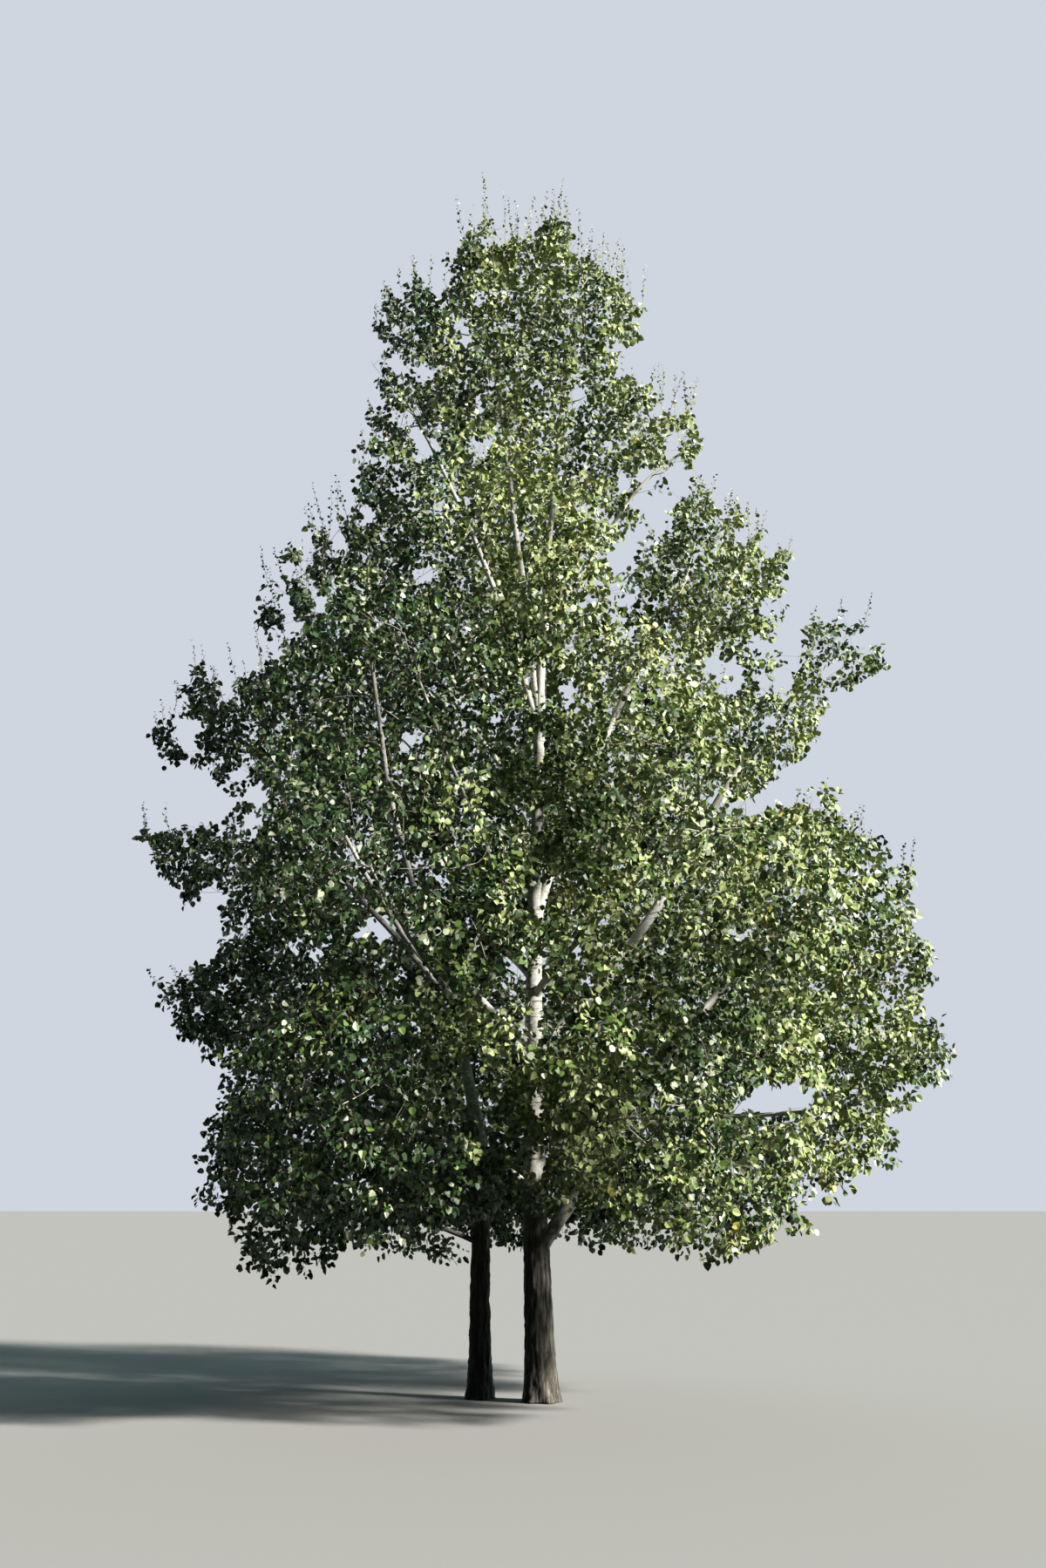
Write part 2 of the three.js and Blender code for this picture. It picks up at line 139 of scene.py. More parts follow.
def stem_point(s, z):
    t = min(1, max(0, (z - s["bend"][0]) / (s["bend"][1] - s["bend"][0])))
    ease = t * t * (3 - 2 * t)
    turn = 2 * math.pi * z / s["sway_length"]
    return Vector(
        (
            s["foot"][0] + s["lean"][0] * ease + s["sway"] * math.sin(turn),
            s["foot"][1] + s["lean"][1] * ease + s["sway"] * (1 - math.cos(turn)) * 0.5,
            z,
        )
    )


def stem_radius(s, z, angle):
    t = min(1, max(0, z / s["height"]))
    body = s["top"] + (s["base"] - s["top"]) * (1 - t) ** s["taper"]
    toe = 0.62 + 0.38 * math.cos(s["toes"] * angle + 0.7)
    return body + s["flare"] * math.exp(-z / s["flare_height"]) * toe


class Curve:
    """A cubic Bezier curve."""

    def __init__(self, a, b, c, d):
        self.p = a, b, c, d

    def at(self, t):
        a, b, c, d = self.p
        s = 1 - t
        return a * s**3 + b * (3 * s * s * t) + c * (3 * s * t * t) + d * t**3

    def way(self, t):
        a, b, c, d = self.p
        s = 1 - t
        return ((b - a) * (3 * s * s) + (c - b) * (6 * s * t) + (d - c) * (3 * t * t)).normalized()


curves = {}
for name, parent, where, end, r0, r1, leave, arrive in BOUGHS:
    a = stem_point(STEMS[parent], where) if parent in STEMS else curves[parent].at(where)
    b = Vector(end)
    level = Vector((b.x - a.x, b.y - a.y, 0)).normalized()
    reach = (b - a).length * 0.38
    ways = [level * math.cos(math.radians(d)) + Vector((0, 0, math.sin(math.radians(d)))) for d in (leave, arrive)]
    curves[name] = Curve(a, a + ways[0] * reach, b - ways[1] * reach, b)


def bough_radius(r0, r1, t):
    return r1 + (r0 - r1) * (1 - t) ** 0.9 + 0.16 * r0 * math.exp(-t / 0.035)


# ---- Meshes ----------------------------------------------------------------------------------------


def mesh_of(name, points, faces, corners, materials, index=None, smooth=False):
    """A mesh from arrays: faces is one flat list of corners, all faces with the same number of them."""
    me = bpy.data.meshes.new(name)
    points = np.asarray(points, dtype=np.float32)
    faces = np.asarray(faces, dtype=np.int32).ravel()
    n = len(faces) // corners
    me.vertices.add(len(points))
    me.vertices.foreach_set("co", points.ravel())
    me.loops.add(len(faces))
    me.loops.foreach_set("vertex_index", faces)
    me.polygons.add(n)
    me.polygons.foreach_set("loop_start", np.arange(0, n * corners, corners, dtype=np.int32))
    me.polygons.foreach_set("loop_total", np.full(n, corners, dtype=np.int32))
    for m in materials:
        me.materials.append(m)
    if index is not None:
        me.polygons.foreach_set("material_index", np.asarray(index, dtype=np.int32))
    me.polygons.foreach_set("use_smooth", np.full(n, smooth))
    me.update(calc_edges=True)
    me.validate()
    obj = bpy.data.objects.new(name, me)
    bpy.context.scene.collection.objects.link(obj)
    return obj


def frames(path):
    """Tangent and two cross directions along many paths at once: path is (n, k, 3)."""
    d = np.gradient(path, axis=1)
    d /= np.linalg.norm(d, axis=2, keepdims=True) + 1e-12
    ref = np.zeros_like(d)
    whole = path[:, -1] - path[:, 0]
    whole = whole / (np.linalg.norm(whole, axis=1, keepdims=True) + 1e-12)
    ref[..., 0] = np.where(np.abs(whole[:, 2:3]) > 0.8, 1.0, 0.0)
    ref[..., 2] = 1 - ref[..., 0]
    side = np.cross(d, ref)
    side /= np.linalg.norm(side, axis=2, keepdims=True) + 1e-12
    over = np.cross(side, d)
    return d, side, over


def tubes(path, radius, sides):
    """Tapering tubes that close to a point at the end: points (n*m, 3) and triangles."""
    path = np.asarray(path, dtype=float)
    radius = np.asarray(radius, dtype=float)
    n, k, _ = path.shape
    _, side, over = frames(path)
    a = np.arange(sides) * 2 * np.pi / sides
    ring = side[:, :, None] * np.cos(a)[None, None, :, None] + over[:, :, None] * np.sin(a)[None, None, :, None]
    body = path[:, : k - 1, None] + ring[:, : k - 1] * radius[:, : k - 1, None, None]
    m = (k - 1) * sides + 1
    points = np.concatenate([body.reshape(n, -1, 3), path[:, -1:]], axis=1)
    one = []
    for i in range(k - 2):
        for j in range(sides):
            p, q = i * sides + j, i * sides + (j + 1) % sides
            one += [[p, p + sides, q], [q, p + sides, q + sides]]
    for j in range(sides):
        one.append([(k - 2) * sides + j, m - 1, (k - 2) * sides + (j + 1) % sides])
    one = np.array(one)
    tris = (one[None] + (np.arange(n) * m)[:, None, None]).reshape(-1, 3)
    return points.reshape(-1, 3), tris


def plain(name, colour, rough, spec=0.5):
    m = bpy.data.materials.new(name)
    m.use_nodes = True
    b = m.node_tree.nodes["Principled BSDF"]
    b.inputs["Base Color"].default_value = (*colour, 1)
    b.inputs["Roughness"].default_value = rough
    b.inputs["Specular IOR Level"].default_value = spec
    m.diffuse_color = (*colour, 1)
    return m


# ---- Bark ------------------------------------------------------------------------------------------


def bark_material(name, stem, lift=1.0):
    """Chalky pale bark with dark bands and scars; on the stems it turns dark and furrowed near the ground. lift scales
    the pale colours; above 1 it paints light onto bark that lies in shade.
    """
    m = bpy.data.materials.new(name)
    m.use_nodes = True
    tree = m.node_tree
    b = tree.nodes["Principled BSDF"]
    new, link = tree.nodes.new, tree.links.new

    def node(kind, **values):
        x = new(kind)
        for k, v in values.items():
            if k in x.inputs:
                x.inputs[k].default_value = v
            else:
                setattr(x, k, v)
        return x

    where = node("ShaderNodeTexCoord")

    def noise_of(scale, detail, size, rough=0.55):
        mp = node("ShaderNodeMapping")
        mp.inputs["Scale"].default_value = scale
        link(where.outputs["Object"], mp.inputs["Vector"])
        t = node("ShaderNodeTexNoise", Scale=size, Detail=detail, Roughness=rough)
        link(mp.outputs[0], t.inputs["Vector"])
        return t.outputs["Fac"]

    def ramp(value, stops):
        r = node("ShaderNodeValToRGB")
        e = r.color_ramp.elements
        while len(e) < len(stops):
            e.new(0.5)
        for x, (at, c) in zip(e, stops):
            x.position = at
            x.color = (*c, 1) if isinstance(c, tuple) else (c, c, c, 1)
        link(value, r.inputs["Fac"])
        return r.outputs["Color"]

    def mix(f, a, c, mode="MIX"):
        x = node("ShaderNodeMix", data_type="RGBA", blend_type=mode)
        if isinstance(f, float):
            x.inputs[0].default_value = f
        else:
            link(f, x.inputs[0])
        link(a, x.inputs[6])
        link(c, x.inputs[7])
        return x.outputs[2]

    # the pale colours, times lift: a lift above 1 is painted light
    base = ramp(
        noise_of((1, 1, 1.4), 5, 3.2),
        [(at, tuple(v * lift for v in c)) for at, c in ((0.3, (0.27, 0.27, 0.235)), (0.5, (0.41, 0.405, 0.365)), (0.72, (0.53, 0.52, 0.48)))] if stem else [(0.3, (0.36, 0.36, 0.32)), (0.5, (0.56, 0.55, 0.51)), (0.72, (0.70, 0.69, 0.65))],
    )
    fine = ramp(noise_of((1, 1, 0.6), 6, 60), [(0.35, 0.72), (0.65, 1.0)])
    base = mix(1.0, base, fine, "MULTIPLY")
    if stem:
        bands = ramp(noise_of((2.2, 2.2, 16), 4, 2.2, 0.6), [(0.6, 0.0), (0.66, 1.0)])
        dark = ramp(noise_of((1, 1, 1), 3, 30), [(0.3, (0.035, 0.03, 0.025)), (0.7, (0.12, 0.105, 0.085))])
        base = mix(bands, base, dark)
        lines = ramp(noise_of((5, 5, 60), 3, 2.0), [(0.62, 0.0), (0.68, 0.8)])
        base = mix(lines, base, dark)
        ridges = noise_of((9, 9, 1.1), 6, 4.0, 0.6)
        rough_bark = ramp(
            ridges,
            [(0.36, (0.02, 0.018, 0.015)), (0.5, (0.075, 0.068, 0.056)), (0.62, (0.16, 0.15, 0.125)), (0.74, (0.27, 0.26, 0.22))],
        )
        # how much of the dark foot shows: all below 1 m, none above 1.9 m, with a ragged edge
        sep = node("ShaderNodeSeparateXYZ")
        link(where.outputs["Object"], sep.inputs[0])
        edge = node("ShaderNodeMath", operation="MULTIPLY_ADD")
        link(noise_of((3, 3, 0.9), 4, 2.5), edge.inputs[0])
        edge.inputs[1].default_value = 1.5
        link(sep.outputs["Z"], edge.inputs[2])
        span = node("ShaderNodeMapRange")
        link(edge.outputs[0], span.inputs["Value"])
        for k, v in (("From Min", 2.15), ("From Max", 2.65), ("To Min", 1.0), ("To Max", 0.0)):
            span.inputs[k].default_value = v
        base = mix(span.outputs[0], base, rough_bark)
    else:
        spots = ramp(noise_of((1, 1, 1), 3, 16), [(0.62, 0.0), (0.7, 1.0)])
        dark = ramp(noise_of((1, 1, 1), 3, 30), [(0.3, (0.05, 0.045, 0.035)), (0.7, (0.14, 0.125, 0.1))])
        base = mix(spots, base, dark)
        sep = node("ShaderNodeSeparateXYZ")
        link(where.outputs["Object"], sep.inputs[0])
        span = node("ShaderNodeMapRange")
        link(sep.outputs["Z"], span.inputs["Value"])
        for k, v in (("From Min", 1.5), ("From Max", 2.15), ("To Min", 0.85), ("To Max", 0.0)):
            span.inputs[k].default_value = v
        rough_bark = ramp(noise_of((1, 1, 1), 5, 26, 0.6), [(0.38, (0.03, 0.027, 0.022)), (0.55, (0.1, 0.09, 0.075)), (0.72, (0.22, 0.21, 0.17))])
        base = mix(span.outputs[0], base, rough_bark)
    link(base, b.inputs["Base Color"])
    b.inputs["Roughness"].default_value = 0.85
    b.inputs["Specular IOR Level"].default_value = 0.25
    return m


STEM_BARK = bark_material("stem_bark", True)
# the second stem's bark is painted 1.6 times paler: painted sunlight on a stem that lies in the trunk's shadow
PAINTED_LIT_BARK = bark_material("second_stem_bark", True, 1.6)
BOUGH_BARK = bark_material("bough_bark", False)
BRANCH = plain("branch_bark", (0.40, 0.39, 0.325), 0.8, 0.3)
TWIG = plain("twig_bark", (0.19, 0.16, 0.105), 0.75, 0.3)

# Branch scars on the stems: height, angle, half height and half width in m, how far the rim stands out.
scars = {}
for key, s in STEMS.items():
    scars[key] = []
    z = 1.35
    while z < s["height"]:
        scars[key].append((z, dice.uniform(0, 6.28), dice.uniform(0.016, 0.034), dice.uniform(0.018, 0.036), dice.uniform(0.004, 0.009)))
        z += dice.uniform(0.05, 0.2)


def relief(key, s, z, a, r):
    """How far the bark stands out: long furrows near the ground, rings and eye-shaped scars above."""
    foot = 1 / (1 + math.exp((z - 1.5 - 0.25 * noise.noise(Vector((math.cos(a), math.sin(a), z))) * 2) / 0.12))
    x, y = math.cos(a) * r, math.sin(a) * r
    v = Vector((x * 34, y * 34, z * 4.2))
    ridge = 1 - abs(noise.noise(v)) * 2.6
    ridge2 = 1 - abs(noise.noise(Vector((x * 75, y * 75, z * 13)) + Vector((7, 3, 1)))) * 2.4
    out = foot * (0.010 * ridge + 0.0045 * ridge2 - 0.006)
    upper = 1 - foot
    out += upper * 0.0022 * noise.noise(Vector((x * 12, y * 12, z * 30)))
    out += upper * 0.004 * noise.noise(Vector((x * 5, y * 5, z * 3.1)))
    for zc, ac, hz, ha, rim in scars[key]:
        if abs(z - zc) > 0.14:
            continue
        da = (a - ac + math.pi) % (2 * math.pi) - math.pi
        q = math.hypot((z - zc) / hz, da * r / ha)
        out += rim * math.exp(-((q - 1.0) ** 2) * 3.0) * upper - 0.5 * rim * math.exp(-q * q * 5) * upper
        brow = math.hypot((z - zc - hz * 1.6 + abs(da * r) * 0.9) / 0.009, da * r / (ha * 2.2))
        out += 0.0025 * math.exp(-brow * brow) * upper
    return out


def stem_mesh(key):
    s = STEMS[key]
    heights = [0.0]
    while heights[-1] < s["height"]:
        heights.append(heights[-1] + (0.016 if heights[-1] < 1.7 else 0.024))
    heights[-1] = s["height"]
    sides = 56 if key == "trunk" else 44
    pts, faces = [], []
    for z in heights:
        c = stem_point(s, z)
        for j in range(sides):
            a = 2 * math.pi * j / sides
            r = stem_radius(s, z, a)
            r += relief(key, s, z, a, r) * min(1, z / 0.02 + 0.15)
            pts.append((c.x + r * math.cos(a), c.y - r * math.sin(a), z))
    k = len(heights)
    for i in range(k - 1):
        for j in range(sides):
            p, q = i * sides + j, i * sides + (j + 1) % sides
            faces += [[p, p + sides, q], [q, p + sides, q + sides]]
    low, high = len(pts), len(pts) + 1
    pts += [tuple(stem_point(s, 0)), tuple(stem_point(s, s["height"]) + Vector((0, 0, 0.01)))]
    for j in range(sides):
        q = (j + 1) % sides
        faces += [[low, j, q], [high, (k - 1) * sides + q, (k - 1) * sides + j]]
    o = mesh_of(key + "_bark", pts, faces, 3, [STEM_BARK if key == "trunk" else PAINTED_LIT_BARK], smooth=True)
    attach(o, "root")
    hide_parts(key)
    return o


for key in STEMS:
    stem_mesh(key)


def bough_rings(name, r0, r1, t0, t1, steps, sides):
    c = curves[name]
    pts = []
    length = (c.p[3] - c.p[0]).length * 1.1
    for i in range(steps + 1):
        t = t0 + (t1 - t0) * i / steps
        p, d = c.at(t), c.way(t)
        side = d.cross(Vector((0, 0, 1))).normalized()
        over = side.cross(d).normalized()
        base = (bough_radius(r0, r1, t) + 0.5 * r0 * math.exp(-t * length / 0.07)) * (0.82 if "left" in name and "leader" not in name else 1.0)
        wobble = Vector((noise.noise(Vector((t * 6, r0 * 90, 1))), noise.noise(Vector((t * 6, r0 * 90, 9))), 0)) * 0.02 * min(1, t * 6) * min(1, (1 - t) * 6)
        for j in range(sides):
            a = 2 * math.pi * j / sides
            q = side * math.cos(a) + over * math.sin(a)
            r = base * (1 + 0.10 * noise.noise(Vector((t * length * 9, a * 1.2, r0 * 70))) + 0.07 * noise.noise(Vector((t * length * 26, math.cos(a) * 2, math.sin(a) * 2))))
            pts.append(p + wobble + q * r)
    return pts


def rings_to_faces(steps, sides, base):
    out = []
    for i in range(steps):
        for j in range(sides):
            p, q = base + i * sides + j, base + i * sides + (j + 1) % sides
            out += [[p, p + sides, q], [q, p + sides, q + sides]]
    return out


def solid_points(name):
    o = frame_nodes[name]
    n = len(o.data.vertices)
    co = np.empty(n * 3, dtype=np.float64)
    o.data.vertices.foreach_get("co", co)
    m = np.array(o.matrix_world)
    return co.reshape(-1, 3) @ m[:3, :3].T + m[:3, 3]


ends = {}
for name, parent, where, end, r0, r1, leave, arrive in BOUGHS:
    c = curves[name]
    ts = np.linspace(0, 1, 161)
    line = np.array([c.at(t) for t in ts])
    pts = solid_points(name)
    near = ((pts[:, None] - line[None]) ** 2).sum(2).argmin(1)
    ends[name] = min(1.0, float(ts[near].max()) + 0.01)

SIDES = 12
groups = {"leaders_bark": [], "boughs_right_bark": [], "boughs_left_bark": [], "boughs_back_bark": [], "boughs_front_bark": []}
for row in BOUGHS:
    n = row[0]
    if n.startswith("leader") or n == "bough_top_right":
        groups["leaders_bark"].append(row)
    elif "back" in n or n == "second_fork_right":
        groups["boughs_back_bark"].append(row)
    elif "front" in n:
        groups["boughs_front_bark"].append(row)
    elif "left" in n:
        groups["boughs_left_bark"].append(row)
    else:
        groups["boughs_right_bark"].append(row)
for group, rows in groups.items():
    pts, faces = [], []
    for name, parent, where, end, r0, r1, leave, arrive in rows:
        c = curves[name]
        steps = max(12, int((c.p[3] - c.p[0]).length * ends[name] / 0.055))
        start = len(pts)
        pts += bough_rings(name, r0, r1, 0, ends[name], steps, SIDES)
        faces += rings_to_faces(steps, SIDES, start)
        for at, t, flip in ((start, 0, False), (start + steps * SIDES, ends[name], True)):
            pts.append(c.at(t))
            for j in range(SIDES):
                tri = [len(pts) - 1, at + j, at + (j + 1) % SIDES]
                faces.append(tri[::-1] if flip else tri)
    o = mesh_of(group, [tuple(p) for p in pts], faces, 3, [BOUGH_BARK], smooth=True)
    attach(o, "root")
    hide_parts(*[r[0] for r in rows])

# ---- Growth ----------------------------------------------------------------------------------------


class Net:
    """Points of the growing tree that the next order of branches may start from."""

    def __init__(self):
        self.p, self.d, self.r = [], [], []

    def add(self, p, d, r):
        self.p.append(p)
        self.d.append(d)
        self.r.append(r)


net = Net()
for row in BOUGHS:
    c = curves[row[0]]
    first = max(0.3, ends[row[0]] - 0.35)
    n = max(4, int((c.p[3] - c.p[0]).length / 0.12))
    for i in range(n + 1):
        t = i / n
        if t >= first * 0.9 or t > 0.45:
            net.add(c.at(t), c.way(t), bough_radius(row[4], row[5], t))
for key, low in (("trunk", 1.7), ("second_stem", 1.6)):
    z = low
    while z < STEMS[key]["height"]:
        net.add(stem_point(STEMS[key], z), Vector((0, 0, 1)), stem_radius(STEMS[key], z, 0))
        z += 0.2

# The masses, joined into one skin: leaves grow inside it and a little way out of it.
mass_names = sorted(n for n in frame_nodes if n.startswith("leaves_"))
skin_points, skin_tris, owner = [], [], []
for k, n in enumerate(mass_names):
    start = len(skin_points)
    skin_points += [Vector(v) for v in solid_points(n)]
    for p in frame_nodes[n].data.polygons:
        skin_tris.append(tuple(start + v for v in p.vertices))
        owner.append(k)
skin = BVHTree.FromPolygons(skin_points, skin_tris)
skin_box = np.array([min(v[i] for v in skin_points) for i in range(3)]), np.array([max(v[i] for v in skin_points) for i in range(3)])


def depth_at(points):
    """How deep points are inside the masses, negative outside them, and the number of the nearest mass."""
    depth, of = np.empty(len(points)), np.empty(len(points), dtype=int)
    for i, p in enumerate(points):
        v = Vector(p)
        at, normal, face, d = skin.find_nearest(v)
        depth[i] = d if (v - at).dot(normal) < 0 else -d
        of[i] = owner[face]
    return depth, of


# How far the crown reaches from the trunk's line, by height and direction.
SECTORS, LAYERS, LAYER = 16, 24, 0.5
reach = np.full((LAYERS, SECTORS), 0.2)
for v in skin_points:
    i = min(LAYERS - 1, int(v.z / LAYER))
    j = int((math.atan2(v.y - 0.1, v.x + 0.1) / (2 * math.pi)) % 1 * SECTORS)
    for di in (-1, 0, 1):
        for dj in (-1, 0, 1):
            c = min(LAYERS - 1, max(0, i + di)), (j + dj) % SECTORS
            reach[c] = max(reach[c], math.hypot(v.x + 0.1, v.y - 0.1))


def share_of_reach(p):
    i = np.clip((p[:, 2] / LAYER).astype(int), 0, LAYERS - 1)
    j = ((np.arctan2(p[:, 1] - 0.1, p[:, 0] + 0.1) / (2 * np.pi)) % 1 * SECTORS).astype(int) % SECTORS
    return np.hypot(p[:, 0] + 0.1, p[:, 1] - 0.1) / reach[i, j]


# Gaps in the crown where sky shows from the front: across, up, half sizes in m and slant in degrees, on the
# plane through the trunk.
GAPS = [
    (-0.43, 11.26, 0.147, 0.102, 71), (0.39, 11.13, 0.125, 0.075, 59), (-1.02, 10.71, 0.139, 0.107, -9),
    (-0.99, 10.87, 0.155, 0.068, 17), (-1.43, 10.6, 0.112, 0.056, -85), (-0.77, 10.18, 0.147, 0.074, 89),
    (-1.38, 9.81, 0.14, 0.084, 22), (-1.62, 10.04, 0.147, 0.078, 19), (-1.58, 9.88, 0.121, 0.065, -34),
    (0.89, 9.77, 0.117, 0.117, 56), (0.91, 9.95, 0.151, 0.086, -32), (-1.09, 9.72, 0.15, 0.075, 21),
    (0.4, 9.48, 0.155, 0.083, 59), (-1.64, 9.44, 0.106, 0.059, -52), (1.27, 9.34, 0.147, 0.094, -3),
    (-1.12, 8.86, 0.12, 0.092, 34), (-1.2, 9.03, 0.154, 0.103, 0), (-1.33, 9.26, 0.136, 0.094, -86),
    (1.35, 9.05, 0.112, 0.075, 2), (-0.57, 8.93, 0.187, 0.073, -50), (-1.77, 8.87, 0.134, 0.063, 52),
    (1.34, 8.82, 0.149, 0.085, 80), (1.05, 8.32, 0.122, 0.103, -71), (0.73, 7.39, 0.128, 0.06, 50),
    (1.41, 8.48, 0.133, 0.124, -72), (1.13, 8.1, 0.184, 0.122, 6), (0.93, 7.9, 0.129, 0.084, 57),
    (0.79, 7.7, 0.152, 0.114, -66), (1.19, 8.63, 0.156, 0.073, -13), (1.23, 8.34, 0.121, 0.103, 85),
    (1.05, 8.54, 0.129, 0.089, -56), (0.82, 8.56, 0.123, 0.062, 82), (-1.83, 8.54, 0.072, 0.063, -40),
    (1.8, 8.31, 0.105, 0.084, 66), (-1.69, 8.19, 0.112, 0.075, -62), (-1.97, 7.92, 0.136, 0.097, 79),
    (-2.04, 8.09, 0.158, 0.089, 18), (-2.18, 7.36, 0.22, 0.076, -63), (-2.3, 7.96, 0.098, 0.089, 33),
    (-2.42, 7.61, 0.196, 0.085, -23), (-2.26, 7.79, 0.123, 0.092, 29), (2.05, 8, 0.1, 0.088, 45),
    (2.27, 7.86, 0.125, 0.125, -13), (-1.11, 7.56, 0.131, 0.098, 82), (-2.38, 7.03, 0.122, 0.061, -65),
    (-2.59, 7.35, 0.102, 0.079, 4), (-2.45, 7.21, 0.125, 0.103, -35), (0.47, 7.27, 0.09, 0.078, -64),
    (2.16, 6.83, 0.145, 0.105, -33), (2.49, 7.2, 0.116, 0.08, -89), (2.34, 6.51, 0.178, 0.108, 61),
    (2.65, 7.24, 0.106, 0.058, -10), (2.44, 6.76, 0.119, 0.111, 80), (2.4, 6.99, 0.134, 0.107, -23),
    (2.29, 7.26, 0.155, 0.077, 26), (2.88, 7.19, 0.124, 0.079, 24), (3.08, 6.83, 0.125, 0.075, -21),
    (0.3, 6.83, 0.119, 0.05, 60), (1.8, 6.4, 0.11, 0.092, -51), (1.85, 6.57, 0.153, 0.102, -57),
    (1.68, 6.62, 0.162, 0.111, 42), (-2.96, 6.47, 0.136, 0.084, 75), (-3.08, 6.57, 0.124, 0.076, 34),
    (-2.83, 6.63, 0.173, 0.086, 12), (2.1, 6.49, 0.104, 0.092, -13), (0.25, 6.42, 0.099, 0.083, -21),
    (2.12, 6.07, 0.084, 0.063, -65), (-1.2, 5.9, 0.133, 0.095, -79), (-3.3, 5.81, 0.162, 0.061, 6),
    (-3.19, 5.55, 0.182, 0.058, -22), (-2.85, 5.51, 0.141, 0.07, 58), (2.32, 5.4, 0.148, 0.114, -14),
    (2.69, 5.54, 0.115, 0.062, 4), (1.9, 5.25, 0.187, 0.083, -17), (2.52, 5.53, 0.125, 0.104, 78),
    (2.14, 5.36, 0.185, 0.119, -85), (2.54, 5.34, 0.149, 0.115, -36), (2.36, 5.56, 0.123, 0.092, 35),
    (-2.68, 5.34, 0.13, 0.09, -1), (1.63, 5.29, 0.112, 0.088, 71), (-2.68, 5.12, 0.131, 0.077, 5),
    (-3.1, 5.13, 0.197, 0.074, 4), (-3, 4.4, 0.225, 0.101, 0), (-1.6, 4.07, 0.095, 0.086, 55),
    (-1.47, 4.11, 0.132, 0.094, -71), (0.58, 4.15, 0.06, 0.051, 4), (-1.99, 3.95, 0.145, 0.051, 66),
    (1.86, 4.02, 0.076, 0.068, -51), (-2.22, 3.94, 0.063, 0.054, 79), (2.12, 3.93, 0.068, 0.06, -22),
    (-3.07, 3.8, 0.176, 0.044, 6), (-0.22, 3.75, 0.06, 0.119, 90), (0.36, 3.9, 0.076, 0.06, 40),
    (2.1, 2.55, 0.42, 0.14, 4), (-3.34, 6.05, 0.17, 0.06, -28), (-3.37, 5.93, 0.13, 0.06, -30), (-3.62, 5.72, 0.12, 0.06, -40),
]  # fmt: skip

# How far the crown reaches left and right of the trunk's foot at each height, on the same plane.
REACH = [
    (3.69, -3.27, 3.6), (3.88, -3.05, 3.6), (4.07, -2.84, 3.5), (4.27, -2.93, 3.45), (4.36, -3.25, 3.41), (4.56, -3.45, 3.51),
    (4.66, -3.52, 3.55), (4.76, -3.51, 3.53), (4.84, -3.61, 3.45), (4.91, -3.79, 3.35), (4.98, -3.83, 3.24), (5.06, -2.85, 2.9),
    (5.26, -2.95, 2.76), (5.36, -2.88, 2.81), (5.46, -3.01, 2.87), (5.56, -3.35, 2.89), (5.66, -3.5, 2.36), (5.77, -3.6, 2.53),
    (5.87, -3.66, 2.57), (5.97, -3.76, 2.62), (6.08, -3.78, 2.66), (6.14, -3.34, 2.68), (6.18, -3.35, 2.69), (6.28, -3.4, 2.7), (6.39, -3.46, 2.88), (6.49, -3.54, 3.16),
    (6.6, -3.47, 3.29), (6.7, -2.8, 3.28), (6.81, -2.83, 3.35), (6.91, -2.73, 3.01), (7.02, -2.73, 3.11), (7.23, -2.79, 3.05),
    (7.34, -2.81, 2.28), (7.45, -2.6, 2.37), (7.56, -2.59, 2.39), (7.67, -2.7, 2.46), (7.78, -2.48, 2.48), (7.89, -2.49, 2.41),
    (8.0, -2.42, 2.24), (8.11, -2.26, 2.01), (8.22, -1.88, 1.99), (8.33, -1.8, 2.0), (8.44, -1.8, 1.7), (8.55, -1.96, 1.63),
    (8.66, -1.79, 1.25), (8.77, -1.87, 1.52), (8.89, -1.88, 1.6), (9.0, -1.72, 1.58), (9.23, -1.74, 1.54), (9.34, -1.71, 1.52),
    (9.46, -1.75, 1.15), (9.57, -1.63, 1.13), (9.8, -1.6, 1.1), (9.92, -1.76, 1.1), (10.04, -1.78, 0.96), (10.15, -1.65, 0.98),
    (10.39, -1.62, 1.01), (10.63, -1.58, 1.05), (10.74, -1.41, 0.95), (10.86, -1.3, 0.8), (10.98, -0.95, 0.6), (11.1, -0.86, 0.56),
    (11.23, -0.78, 0.5), (11.35, -0.77, 0.42), (11.47, -0.76, 0.35), (11.6, -0.72, 0.28), (11.75, -0.64, -0.4), (12.1, -0.6, -0.45),
]  # fmt: skip

# The top of the crown with its thin upright shoots, on the same plane: across, up.
CROWN_TOP = [
    (-4.2, 5.2), (-3.6, 6.2), (-3.3, 6.85), (-2.9, 7.3), (-2.7, 8.1), (-2.3, 8.45), (-1.98, 8.95), (-1.75, 10.3), (-1.5, 10.75),
    (-1.3, 10.98), (-1.05, 11.15), (-0.85, 11.35), (-0.7, 11.8), (-0.53, 12.05), (-0.4, 11.8), (-0.2, 11.72), (0.0, 11.75),
    (0.13, 11.92), (0.25, 11.78), (0.4, 11.6), (0.5, 11.55), (0.65, 11.25), (0.8, 11.2), (0.95, 11.1), (1.08, 10.9), (1.3, 9.7),
    (1.5, 9.65), (1.68, 9.3), (1.85, 8.65), (2.1, 8.5), (2.4, 8.2), (2.6, 7.6), (3.1, 7.5), (3.4, 7.1), (3.8, 5.2),
]  # fmt: skip

# The top of the dense leaves, below those shoots.
DENSE_TOP = [
    (-1.75, 10.1), (-1.6, 10.5), (-1.53, 10.66), (-1.32, 10.83), (-1.12, 10.83), (-0.98, 10.69), (-0.88, 11.0), (-0.8, 11.25), (-0.63, 11.42),
    (-0.53, 11.5), (-0.42, 11.2), (-0.25, 11.28), (-0.07, 11.28), (0.03, 11.42), (0.13, 11.54), (0.25, 11.45), (0.38, 11.23), (0.48, 11.07),
    (0.58, 10.99), (0.75, 10.87), (0.89, 10.7), (0.98, 10.55), (1.08, 10.0), (1.2, 9.6),
]  # fmt: skip

